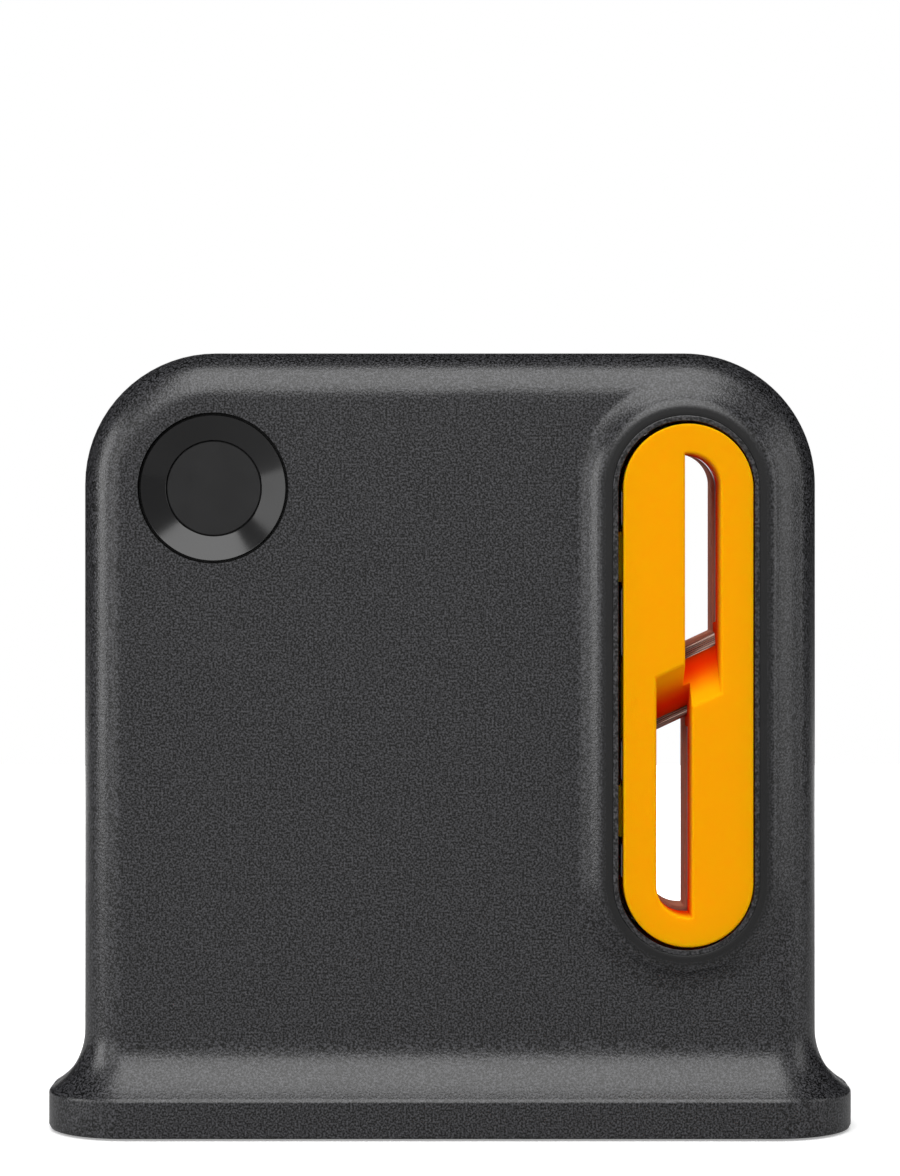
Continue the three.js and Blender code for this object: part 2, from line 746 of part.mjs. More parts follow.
addPiece(housing, "front_housing", makeFrontHousing(), charcoal);
addPiece(housing, "rear_housing", makeRearHousing(), charcoal);
addPiece(housing, "badge_ring", makeBadgeRing(), glossBlack);
addPiece(housing, "base_plate", makeBasePlate(), charcoal);
addPiece(housing, "sole_pad", footPrism(wall + footClearance, 0, soleThickness), rubber);
const liner = addPiece(housing, "window_liner", makeLiner(), charcoal);
liner.position.set(windowX, 0, cartridgeZ);
const guide = addPiece(housing, "exit_guide", makeExitGuide(), warmGrey);
guide.position.copy(cartridge.position);
housingScrewPlaces.forEach(([x, z], i) => {
  const piece = addPiece(housing, `housing_screw_${i + 1}`, screw(housingScrew, false), steel);
  piece.position.set(x, screwSeat + stackGap, z);
});
baseScrewPlaces.forEach(([x, y], i) => {
  const piece = addPiece(housing, `base_screw_${i + 1}`, screw(baseScrew, false), steel);
  piece.rotation.x = -Math.PI / 2;
  piece.position.set(x, y, plateBottom + baseScrew.headHeight);
});

addPiece(cartridge, "cartridge_cover", makeCover(), orange);
addPiece(cartridge, "rod_retainer", makeRetainer(), steel);
["upper_rod", "lower_rod"].forEach((name, i) => {
  const side = i === 0 ? 1 : -1;
  const across = side * rodAcross;
  const along = side * slotAlong;
  const rod = addPiece(cartridge, name, solidOf(flutedRod()), rodSteel);
  rod.rotation.y = Math.PI / 2 - slantAngle;
  rod.position.set(
    along * Math.cos(slantAngle) - across * Math.sin(slantAngle),
    rodY,
    along * Math.sin(slantAngle) + across * Math.cos(slantAngle),
  );
});
cartridgeScrewPlaces.forEach(([x, z], i) => {
  const piece = addPiece(cartridge, `cartridge_screw_${i + 1}`, screw(cartridgeScrew, true), steel);
  piece.position.set(x, retainerRear, z);
});
["left_spring", "right_spring"].forEach((name, i) => {
  const start = coverFront + springStart;
  const strip = extrudeY(springShape(), start, start + springWidth).rotateY(i * Math.PI);
  addPiece(cartridge, name, solidOf(strip), steel);
});

export default sharpener;
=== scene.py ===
import math

import bmesh
import bpy
from mathutils import Matrix, Vector


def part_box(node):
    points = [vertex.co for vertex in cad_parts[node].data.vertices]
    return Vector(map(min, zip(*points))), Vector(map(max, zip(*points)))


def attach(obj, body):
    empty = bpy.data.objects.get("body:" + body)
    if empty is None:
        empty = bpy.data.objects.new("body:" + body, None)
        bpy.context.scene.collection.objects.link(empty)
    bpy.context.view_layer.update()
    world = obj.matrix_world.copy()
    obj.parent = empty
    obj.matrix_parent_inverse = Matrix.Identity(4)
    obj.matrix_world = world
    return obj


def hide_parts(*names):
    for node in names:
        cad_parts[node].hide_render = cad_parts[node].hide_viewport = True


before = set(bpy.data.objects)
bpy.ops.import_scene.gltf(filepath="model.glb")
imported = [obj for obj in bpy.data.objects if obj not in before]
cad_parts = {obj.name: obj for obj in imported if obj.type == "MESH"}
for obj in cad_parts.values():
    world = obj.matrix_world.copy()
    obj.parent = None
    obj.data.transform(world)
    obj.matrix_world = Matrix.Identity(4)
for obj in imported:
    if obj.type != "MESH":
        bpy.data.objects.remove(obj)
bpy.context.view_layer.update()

# Meshes are modelled in millimetres and brought to metres once, when they become objects.
mm = 0.001
nearby = 1e-4  # mm, points closer than this count as one place
overcut = 1.0  # mm, how far a cutting tool runs past the face that it cuts
sharpAngle = 32  # degrees, a steeper fold is an edge
scene = bpy.context.scene


def lerp(start, end, share):
    return start + (end - start) * share


def boxMm(node):
    low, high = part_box(node)
    return low / mm, high / mm


def middleMm(node):
    return [(low + high) / 2 for low, high in zip(*boxMm(node))]


def toLinear(hexCode):
    channels = [int(hexCode[i:i + 2], 16) / 255 for i in (1, 3, 5)]
    curved = [c / 12.92 if c <= 0.04045 else ((c + 0.055) / 1.055) ** 2.4 for c in channels]
    return (*curved, 1.0)


def addNode(tree, kind, settings=None, links=None):
    node = tree.nodes.new("ShaderNode" + kind)
    for name, value in (settings or {}).items():
        if isinstance(name, str) and hasattr(node, name):
            setattr(node, name, value)
        else:
            node.inputs[name].default_value = value
    for name, source in (links or {}).items():
        tree.links.new(source, node.inputs[name])
    return node


def newMaterial(name, settings):
    material = bpy.data.materials.new(name)
    material.use_nodes = True
    tree = material.node_tree
    shader = tree.nodes["Principled BSDF"]
    for socket, value in settings.items():
        shader.inputs[socket].default_value = value
    return material, tree, shader, addNode(tree, "TexCoord").outputs["Object"]


def plug(tree, shader, links):
    for socket, source in links.items():
        tree.links.new(source, shader.inputs[socket])


# Materials

absSmooth = {"face": "#0e0e0f", "flow": 3.0, "roughness": 0.34, "spread": 0.05}


def mouldedAbsSmooth():
    # Charcoal ABS from a plain machined mould: even and dull, with faint flow marks. Its very dark tone is
    # partly the smooth finish and partly painted shade, where the cartridge shades the collar's rim.
    material, tree, shader, place = newMaterial("mouldedAbsSmooth", {
        "IOR": 1.53, "Base Color": toLinear(absSmooth["face"])})
    flow = addNode(tree, "TexNoise", {"Scale": 1 / (absSmooth["flow"] * mm), "Detail": 3.0},
                   {"Vector": place})
    rough = addNode(tree, "MapRange", {"To Min": absSmooth["roughness"] - absSmooth["spread"],
                    "To Max": absSmooth["roughness"] + absSmooth["spread"]}, {"Value": flow.outputs["Fac"]})
    plug(tree, shader, {"Roughness": rough.outputs["Result"]})
    return material


absGrain = {"face": "#4a4a4d", "pit": "#020202", "lowest": 0.35, "highest": 0.79, "pebble": 0.22,
            "depth": 0.02, "roughness": 0.3, "cloud": 9.0, "spread": 0.04, "fades": (0.25, 0.5, 0.75)}


def mouldedAbsSparkEroded(name, grain):  # a grain of 1 is full, less runs out towards the smooth finish
    # The same ABS from a spark-eroded mould: a fine even pebble that breaks each highlight into sparkle.
    # Real pebbles are about 0.1 mm across; they are drawn coarser, so that they show.
    # Towards the smooth rim the colours run down to the smooth finish's dark tone, which is partly painted
    # shade.
    def faded(key):
        return [lerp(plain, full, grain) for plain, full in
                zip(toLinear(absSmooth["face"]), toLinear(absGrain[key]))]

    roughness = lerp(absSmooth["roughness"], absGrain["roughness"], grain)
    material, tree, shader, place = newMaterial(name, {"IOR": 1.53})
    pebble = addNode(tree, "TexNoise", {"Scale": 1 / (absGrain["pebble"] * mm), "Detail": 0.0},
                     {"Vector": place})
    cloud = addNode(tree, "TexNoise", {"Scale": 1 / (absGrain["cloud"] * mm), "Detail": 1.0},
                    {"Vector": place})
    peak = addNode(tree, "MapRange", {"From Min": absGrain["lowest"],
                   "From Max": absGrain["highest"]}, {"Value": pebble.outputs["Fac"]})
    colour = addNode(tree, "Mix", {"data_type": "RGBA", 6: faded("pit"), 7: faded("face")},
                     {0: peak.outputs["Result"]})
    rough = addNode(tree, "MapRange", {"To Min": roughness - absGrain["spread"],
                    "To Max": roughness + absGrain["spread"]}, {"Value": cloud.outputs["Fac"]})
    bump = addNode(tree, "Bump", {"Strength": 1.0, "Distance": absGrain["depth"] * grain * mm},
                   {"Height": pebble.outputs["Fac"]})
    plug(tree, shader, {"Base Color": colour.outputs[2], "Roughness": rough.outputs["Result"],
                        "Normal": bump.outputs["Normal"]})
    return material


# The deep colour is painted shade: the slots' walls turn to it from start to reach mm behind the face.
absOrange = {"face": "#f6a505", "deep": "#f43a02", "start": 1.0, "reach": 5.6, "roughness": 0.7,
             "sand": 0.25, "sandDepth": 0.01, "sandRelief": 0.25, "specular": 0.01,
             "inside": 0.6, "travel": 3.2, "travelShares": (1.0, 0.2, 0.04)}


def mouldedAbsOrange(name, deep):
    # Orange ABS from a finely blasted mould: dull silk. Light passes a little way through the plastic, and
    # down in a slot
    # the colour is painted redder as well: painted shade. The blasted marks are finer than a pixel; they are
    # drawn coarser, so that they show.
    material, tree, shader, place = newMaterial(name, {
        "IOR": 1.5, "Roughness": absOrange["roughness"], "Specular IOR Level": absOrange["specular"],
        "Subsurface Weight": absOrange["inside"], "Subsurface Radius": absOrange["travelShares"],
        "Subsurface Scale": absOrange["travel"] * mm})
    sand = addNode(tree, "TexNoise", {"Scale": 1 / (absOrange["sand"] * mm), "Detail": 2.0},
                   {"Vector": place})
    depth = addNode(tree, "SeparateXYZ", None, {"Vector": place})
    faceY = boxMm("cartridge_cover")[0].y
    # Painted shade: the colour runs from the face colour to the deep one with depth behind the face.
    sink = addNode(tree, "MapRange", {"interpolation_type": "SMOOTHSTEP",
                   "From Min": (faceY + absOrange["start"]) * mm,
                   "From Max": (faceY + absOrange["reach"]) * mm}, {"Value": depth.outputs["Y"]})
    colour = addNode(tree, "Mix", {"data_type": "RGBA", 6: toLinear(absOrange["face"]),
                     7: toLinear(absOrange[deep])}, {0: sink.outputs["Result"]})
    bump = addNode(tree, "Bump", {"Strength": absOrange["sandRelief"],
                   "Distance": absOrange["sandDepth"] * mm}, {"Height": sand.outputs["Fac"]})
    plug(tree, shader, {"Base Color": colour.outputs[2], "Normal": bump.outputs["Normal"]})
    return material


ringGloss = {"face": "#0c0c0d", "clearest": 0.09, "dullest": 0.19, "ripple": 5.0}


def polishedAbsBlack():
    # Black ABS from a polished mould: a clear reflection that the cone bends, a little soft from handling.
    material, tree, shader, place = newMaterial("polishedAbsBlack", {
        "IOR": 1.53, "Base Color": toLinear(ringGloss["face"])})
    haze = addNode(tree, "TexNoise", {"Scale": 1 / (ringGloss["ripple"] * mm), "Detail": 4.0},
                   {"Vector": place})
    rough = addNode(tree, "MapRange", {"To Min": ringGloss["clearest"],
                    "To Max": ringGloss["dullest"]}, {"Value": haze.outputs["Fac"]})
    plug(tree, shader, {"Roughness": rough.outputs["Result"]})
    return material


steelMarks = {"size": 0.12, "spread": 0.08, "depth": 0.004}
steels = {
    # The tool steel's warm brown face is painted reflection of the orange cover that surrounds the rods.
    "groundToolSteelPaintedReflection": {"face": "#8d766c", "roughness": 0.22, "stretch": (2, 2, 2), "relief": 0.05},
    "rolledSpringSteel": {"face": "#b9b9bb", "roughness": 0.3, "stretch": (1, 1, 12), "relief": 0.2},
    "zincPlatedSteel": {"face": "#a3a3a6", "roughness": 0.34, "stretch": (2, 2, 2), "relief": 0.2},
}


def brushedSteel(name):
    # Steel with fine marks, longest along the way a sheet was rolled, so its highlights smear across them.
    steel = steels[name]
    material, tree, shader, place = newMaterial(name, {
        "Metallic": 1.0, "Base Color": toLinear(steel["face"])})
    scale = [1 / (steelMarks["size"] * mm * s) for s in steel["stretch"]]
    mapped = addNode(tree, "Mapping", {"Scale": scale}, {"Vector": place})
    marks = addNode(tree, "TexNoise", {"Scale": 1.0, "Detail": 3.0},
                    {"Vector": mapped.outputs["Vector"]})
    rough = addNode(tree, "MapRange", {"To Min": steel["roughness"] - steelMarks["spread"],
                    "To Max": steel["roughness"] + steelMarks["spread"]}, {"Value": marks.outputs["Fac"]})
    bump = addNode(tree, "Bump", {"Strength": steel["relief"],
                   "Distance": steelMarks["depth"] * mm}, {"Height": marks.outputs["Fac"]})
    plug(tree, shader, {"Roughness": rough.outputs["Result"], "Normal": bump.outputs["Normal"]})
    return material


rubberFinish = {"face": "#1b1b1c", "dust": "#2a2a2b", "roughness": 0.82, "speck": 0.6, "relief": 0.4,
                "depth": 0.04}


def mouldedRubber():
    # Black rubber, pressed: no shine, with dusty specks.
    material, tree, shader, place = newMaterial("mouldedRubber", {
        "IOR": 1.5, "Roughness": rubberFinish["roughness"]})
    speck = addNode(tree, "TexNoise", {"Scale": 1 / (rubberFinish["speck"] * mm), "Detail": 4.0},
                    {"Vector": place})
    colour = addNode(tree, "Mix", {"data_type": "RGBA", 6: toLinear(rubberFinish["face"]),
                     7: toLinear(rubberFinish["dust"])}, {0: speck.outputs["Fac"]})
    bump = addNode(tree, "Bump", {"Strength": rubberFinish["relief"],
                   "Distance": rubberFinish["depth"] * mm}, {"Height": speck.outputs["Fac"]})
    plug(tree, shader, {"Base Color": colour.outputs[2], "Normal": bump.outputs["Normal"]})
    return material


# Both browns are painted light, standing for the cover's orange light bounced onto the guide.
nylonPaintedBounce = {"face": "#dd9a80", "fibre": "#c88468", "roughness": 0.8, "specular": 0.1, "mottle": 0.8}


def mouldedNylonGlassFilledPaintedBounce():
    # Nylon with short glass fibres: dull, with a faint mottle where they surface. Its terracotta brown is
    # painted light: the orange that the cover bounces onto it.
    material, tree, shader, place = newMaterial("mouldedNylonGlassFilledPaintedBounce", {
        "IOR": 1.52, "Specular IOR Level": nylonPaintedBounce["specular"], "Roughness": nylonPaintedBounce["roughness"]})
    mottle = addNode(tree, "TexNoise", {"Scale": 1 / (nylonPaintedBounce["mottle"] * mm), "Detail": 5.0},
                     {"Vector": place})
    colour = addNode(tree, "Mix", {"data_type": "RGBA", 6: toLinear(nylonPaintedBounce["fibre"]),
                     7: toLinear(nylonPaintedBounce["face"])}, {0: mottle.outputs["Fac"]})
    plug(tree, shader, {"Base Color": colour.outputs[2]})
    return material


smoothAbs = mouldedAbsSmooth()
grainedAbs = mouldedAbsSparkEroded("mouldedAbsSparkEroded", 1)
fadingAbs = [mouldedAbsSparkEroded(f"mouldedAbsFadingGrain{i + 1}", share)
             for i, share in enumerate(absGrain["fades"])]
guideNylonPaintedBounce = mouldedNylonGlassFilledPaintedBounce()
orangeAbs = mouldedAbsOrange("mouldedAbsOrange", "face")
# The same orange, with painted shade down in the slots.
slotAbsPaintedShade = mouldedAbsOrange("mouldedAbsOrangePaintedShade", "deep")
glossAbs = polishedAbsBlack()
rodSteelPaintedReflection = brushedSteel("groundToolSteelPaintedReflection")
sheetSteel = brushedSteel("rolledSpringSteel")
screwSteel = brushedSteel("zincPlatedSteel")
soleRubber = mouldedRubber()
print("materials made")


# Tools that the pieces share

def toObject(name, bm, facing=False):  # facing says that the faces look outwards already
    if not facing:
        bmesh.ops.recalc_face_normals(bm, faces=bm.faces)
    bmesh.ops.scale(bm, vec=(mm, mm, mm), verts=bm.verts)
    mesh = bpy.data.meshes.new(name)
    bm.to_mesh(mesh)
    bm.free()
    piece = bpy.data.objects.new(name, mesh)
    scene.collection.objects.link(piece)
    return piece


def settle(piece):  # the modifiers' result becomes the mesh
    graph = bpy.context.evaluated_depsgraph_get()
    made = bpy.data.meshes.new_from_object(piece.evaluated_get(graph))
    piece.modifiers.clear()
    old = piece.data
    piece.data = made
    bpy.data.meshes.remove(old)
    made.name = piece.name


def carve(piece, tool, how="DIFFERENCE"):
    change = piece.modifiers.new("carve", "BOOLEAN")
    change.operation = how
    change.solver = "EXACT"
    change.object = tool
    settle(piece)
    mesh = tool.data
    bpy.data.objects.remove(tool)
    bpy.data.meshes.remove(mesh)


def weld(piece, reach):  # joins points that carving left all but touching, which upset the next carve
    bm = bmesh.new()
    bm.from_mesh(piece.data)
    bmesh.ops.remove_doubles(bm, verts=bm.verts, dist=reach * mm)
    bm.to_mesh(piece.data)
    bm.free()


def bevelEdges(bm, edges, width, segments):
    bmesh.ops.bevel(bm, geom=edges, offset=width, segments=segments, profile=0.5, affect="EDGES",
                    material=-1)


def softenEdges(piece, width, segments=2):
    bevel = piece.modifiers.new("softEdges", "BEVEL")
    bevel.width = width * mm
    bevel.segments = segments
    bevel.limit_method = "ANGLE"
    bevel.angle_limit = math.radians(sharpAngle)
    bevel.miter_outer = "MITER_ARC"
    settle(piece)


def softenFront(piece, y, width, segments):  # rounds the edges that lie in one plane across Y
    bm = bmesh.new()
    bm.from_mesh(piece.data)
    rim = [e for e in bm.edges if len(e.link_faces) == 2 and e.calc_face_angle() > math.radians(sharpAngle)
           and all(abs(v.co.y - y * mm) < nearby * mm for v in e.verts)]
    bevelEdges(bm, rim, width * mm, segments)
    bm.to_mesh(piece.data)
    bm.free()


def finishPiece(piece, body, slot, material, *nodes, sharp=sharpAngle):
    if material:
        piece.data.materials.clear()
        piece.data.materials.append(material)
    piece.data.shade_smooth()
    piece.data.set_sharp_from_angle(angle=math.radians(sharp))
    weighted = piece.modifiers.new("flatFaces", "WEIGHTED_NORMAL")
    weighted.keep_sharp = True
    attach(piece, body)
    if nodes:
        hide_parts(*nodes)


def nextRing(bm, edges, place):  # extrudes an edge loop or chain and puts its new points in place
    made = bmesh.ops.extrude_edge_only(bm, edges=edges)["geom"]
    fresh = {g for g in made if isinstance(g, bmesh.types.BMVert)}
    for vert in fresh:
        vert.co = place(vert)
    return [g for g in made if isinstance(g, bmesh.types.BMEdge) and all(v in fresh for v in g.verts)]


def extrudeFaces(bm, faces, vec):
    made = bmesh.ops.extrude_face_region(bm, geom=faces)["geom"]
    verts = [g for g in made if isinstance(g, bmesh.types.BMVert)]
    bmesh.ops.translate(bm, vec=vec, verts=verts)
    return verts


def addBox(bm, low, high):
    size = Vector(high) - Vector(low)
    place = Matrix.Translation((Vector(low) + Vector(high)) / 2) @ Matrix.Diagonal((*size, 1))
    bmesh.ops.create_cube(bm, size=1, matrix=place)


def addDisc(bm, steps, radius):  # a face across Y, level at its top and bottom
    verts = bmesh.ops.create_circle(bm, cap_ends=True, segments=steps, radius=radius)["verts"]
    turn = Matrix.Rotation(math.pi / 2, 4, "X") @ Matrix.Rotation(math.pi / steps, 4, "Z")
    bmesh.ops.transform(bm, matrix=turn, verts=verts)
    return verts


# Places taken from the frame

shellLow, shellHigh = boxMm("front_housing")
coverLow, coverHigh = boxMm("cartridge_cover")
retainLow, retainHigh = boxMm("rod_retainer")
linerLow, linerHigh = boxMm("window_liner")

# the cartridge's outline: two half rounds and two straight runs
track = {"plateInset": 0.25, "steps": 128}
track["x"] = middleMm("rod_retainer")[0]
track["z"] = middleMm("cartridge_cover")[2]
track["half"] = (retainHigh.x - retainLow.x) / 2 + track["plateInset"]
track["run"] = (coverHigh.z - coverLow.z) / 2 - track["half"]
track["windowX"] = middleMm("window_liner")[0]
track["push"] = track["x"] - track["windowX"]  # the springs keep the cartridge off the window's middle


def trackTool(name, x, grow, y0, y1, edge=0, edgeSteps=1):  # a prism on the cartridge's outline
    bm = bmesh.new()
    verts = addDisc(bm, track["steps"], track["half"] + grow)
    for vert in verts:
        vert.co.z += math.copysign(track["run"], vert.co.z)
    bmesh.ops.translate(bm, vec=(x, y0, track["z"]), verts=verts)
    extrudeFaces(bm, bm.faces[:], (0, y1 - y0, 0))
    if edge:
        rim = [e for e in bm.edges if all(abs(v.co.y - y0) < nearby for v in e.verts)]
        bevelEdges(bm, rim, edge, edgeSteps)
    return toObject(name, bm)


def barTool(places, radius, y0, y1, segments=48, farRadius=None):  # round bars along Y
    bm = bmesh.new()
    for x, z in places:
        place = Matrix.Translation((x, (y0 + y1) / 2, z)) @ Matrix.Rotation(-math.pi / 2, 4, "X")
        bmesh.ops.create_cone(bm, cap_ends=True, segments=segments, radius1=radius,
                              radius2=farRadius or radius, depth=y1 - y0, matrix=place)
    return toObject("tool", bm)


# Housing shells

shell = {
    "edgeRadius": 5.5, "topCornerRadius": 15.4, "wall": 1.4,
    "flareOut": 4.2, "flareFront": 3.5, "flareRadius": 7.9, "frontCurve": 2.3,
    "bandHeight": 4.35, "bandEdge": 0.3, "soleEdge": 0.4,
    "windowOffset": 1.02, "windowEdge": 0.05, "windowDepth": 2.0,
    "collarRise": 1.55, "collarRim": 0.8, "collarRound": 1.8, "collarSlope": math.radians(41),
    "collarBlend": 1.2, "flankFade": 0.35, "flankPlain": 1.5, "collarReach": 6.2,
    "seamGap": 0.01, "seamChamfer": 0.22, "fadeReach": 1.0,
    "runSteps": 26, "quarterSteps": 30, "leftSteps": 48, "cornerShare": 0.375, "footShare": 0.4,
    "bandEdgeSteps": 3, "windowEdgeSteps": 2, "windowFold": math.radians(25), "rimBand": 0.02,
    "rimSteps": 2, "collarSteps": 8, "flankSteps": 12, "roundSteps": 18, "flareSteps": 16,
    "faceShares": (0.1, 0.3, 0.55, 0.8, 0.93, 1.0), "sideShare": 0.1, "edgeRoom": 0.75,
}
shell["half"] = shellHigh.x - shell["flareOut"]
shell["deep"] = -shellLow.y - shell["flareFront"]
shell["top"] = shellHigh.z
shell["bandTop"] = shellLow.z + shell["bandHeight"]
shell["flareAngle"] = math.acos(1 - shell["flareOut"] / shell["flareRadius"])
shell["flareTop"] = shell["bandTop"] + shell["flareRadius"] * math.sin(shell["flareAngle"])
shell["rimOffset"] = shell["windowOffset"] + shell["collarRim"]
shell["roundReach"] = shell["collarRound"] * math.sin(shell["collarSlope"])
shell["flankTop"] = shell["collarRise"] - shell["collarRound"] * (1 - math.cos(shell["collarSlope"]))


def edgeDistance(x, z):  # from a point of the face to the sides and the top
    cornerX = shell["half"] - shell["topCornerRadius"]
    cornerZ = shell["top"] - shell["topCornerRadius"]
    if abs(x) > cornerX and z > cornerZ:
        return shell["topCornerRadius"] - math.hypot(abs(x) - cornerX, z - cornerZ)
    return min(shell["half"] - abs(x), shell["top"] - z)


def trackOffset(x, z):  # from a point of the face to the cartridge's outline
    middle = max(track["z"] - track["run"], min(track["z"] + track["run"], z))
    return math.hypot(x - track["windowX"], z - middle) - track["half"]


def collarHeight(x, z):  # of the collar over the face, ever lower past its foot
    past = trackOffset(x, z) - shell["rimOffset"]
    if past <= 0:
        return shell["collarRise"]
    if past < shell["roundReach"]:
        return shell["collarRise"] - shell["collarRound"] + math.sqrt(shell["collarRound"] ** 2 - past ** 2)
    over = past - shell["roundReach"]
    fade = shell["flankFade"] * max(0, over - shell["flankPlain"]) ** 2
    return shell["flankTop"] - over * math.tan(shell["collarSlope"]) - fade


def faceDepth(x, z):  # depth of the finished face, where the edge and the collar run into each other softly
    radius = shell["edgeRadius"]
    short = max(0, radius - max(0, edgeDistance(x, z)))
    edge = math.sqrt(radius ** 2 - short ** 2) - radius
    collar = collarHeight(x, z)
    near = max(0, shell["collarBlend"] - abs(edge - collar)) / shell["collarBlend"]
    return -max(edge, collar) - near ** 2 * shell["collarBlend"] / 4


def shellRays():  # lines over the face, from the cartridge's outline out to the sides, top and foot
    half, top, foot = shell["half"], shell["top"], shell["flareTop"]
    corner = shell["topCornerRadius"]
    cornerX, cornerZ = half - corner, top - corner
    low, high = track["z"] - track["run"], track["z"] + track["run"]
    quarter = shell["quarterSteps"]
    rays = []

    def addRay(core, angle, end, inward):
        rays.append({"core": Vector((track["windowX"], core)), "end": Vector(end),
                     "out": Vector((math.cos(angle), math.sin(angle))),
                     "inward": Vector(inward) if inward else None})

    def cornerEnd(side, angle):
        return side * cornerX + corner * math.cos(angle), cornerZ + corner * math.sin(angle)

    for i in range(shell["runSteps"]):
        share = i / shell["runSteps"]
        addRay(lerp(low, high, share), 0, (half, lerp(low, cornerZ, share)), (-1, 0))
    for i in range(quarter):
        angle = i / quarter * math.pi / 2
        addRay(high, angle, cornerEnd(1, angle), (-math.cos(angle), -math.sin(angle)))
    for i in range(quarter):
        share = i / quarter
        addRay(high, (1 + share) * math.pi / 2, (lerp(cornerX, -cornerX, share), top), (0, -1))
    turned = round(shell["leftSteps"] * shell["cornerShare"])
    for i in range(shell["leftSteps"]):
        core = lerp(high, low, i / shell["leftSteps"])
        if i < turned:
            angle = (1 + i / turned) * math.pi / 2
            addRay(core, math.pi, cornerEnd(-1, angle), (-math.cos(angle), -math.sin(angle)))
        else:
            share = (i - turned) / (shell["leftSteps"] - turned)
            addRay(core, math.pi, (-half, lerp(cornerZ, foot, share)), (1, 0))
    addRay(low, math.pi, (-half, foot), (1, 0))
    flat = half - shell["edgeRadius"]
    for i in range(1, quarter):
        share = i / quarter
        addRay(low, (2 + share) * math.pi / 2, (lerp(-flat, track["windowX"], share), foot), None)
    footSteps = round(quarter * shell["footShare"])
    for i in range(quarter):
        angle = (3 + i / quarter) * math.pi / 2
        if i < footSteps:
            addRay(low, angle, (lerp(track["windowX"], flat, i / footSteps), foot), None)
        else:
            share = (i - footSteps) / (quarter - footSteps)
            addRay(low, angle, (half, lerp(foot, low, share)), (-1, 0))
    return rays


def planNormal(co):  # outward, seen from above
    flatX = shell["half"] - shell["edgeRadius"]
    flatY = shell["deep"] - shell["edgeRadius"]
    away = Vector((max(0, abs(co.x) - flatX), max(0, abs(co.y) - flatY), 0))
    if away.x < nearby:
        away = Vector((0, 1, 0))
    away.normalize()
    return Vector((math.copysign(away.x, co.x), math.copysign(away.y, co.y), 0))


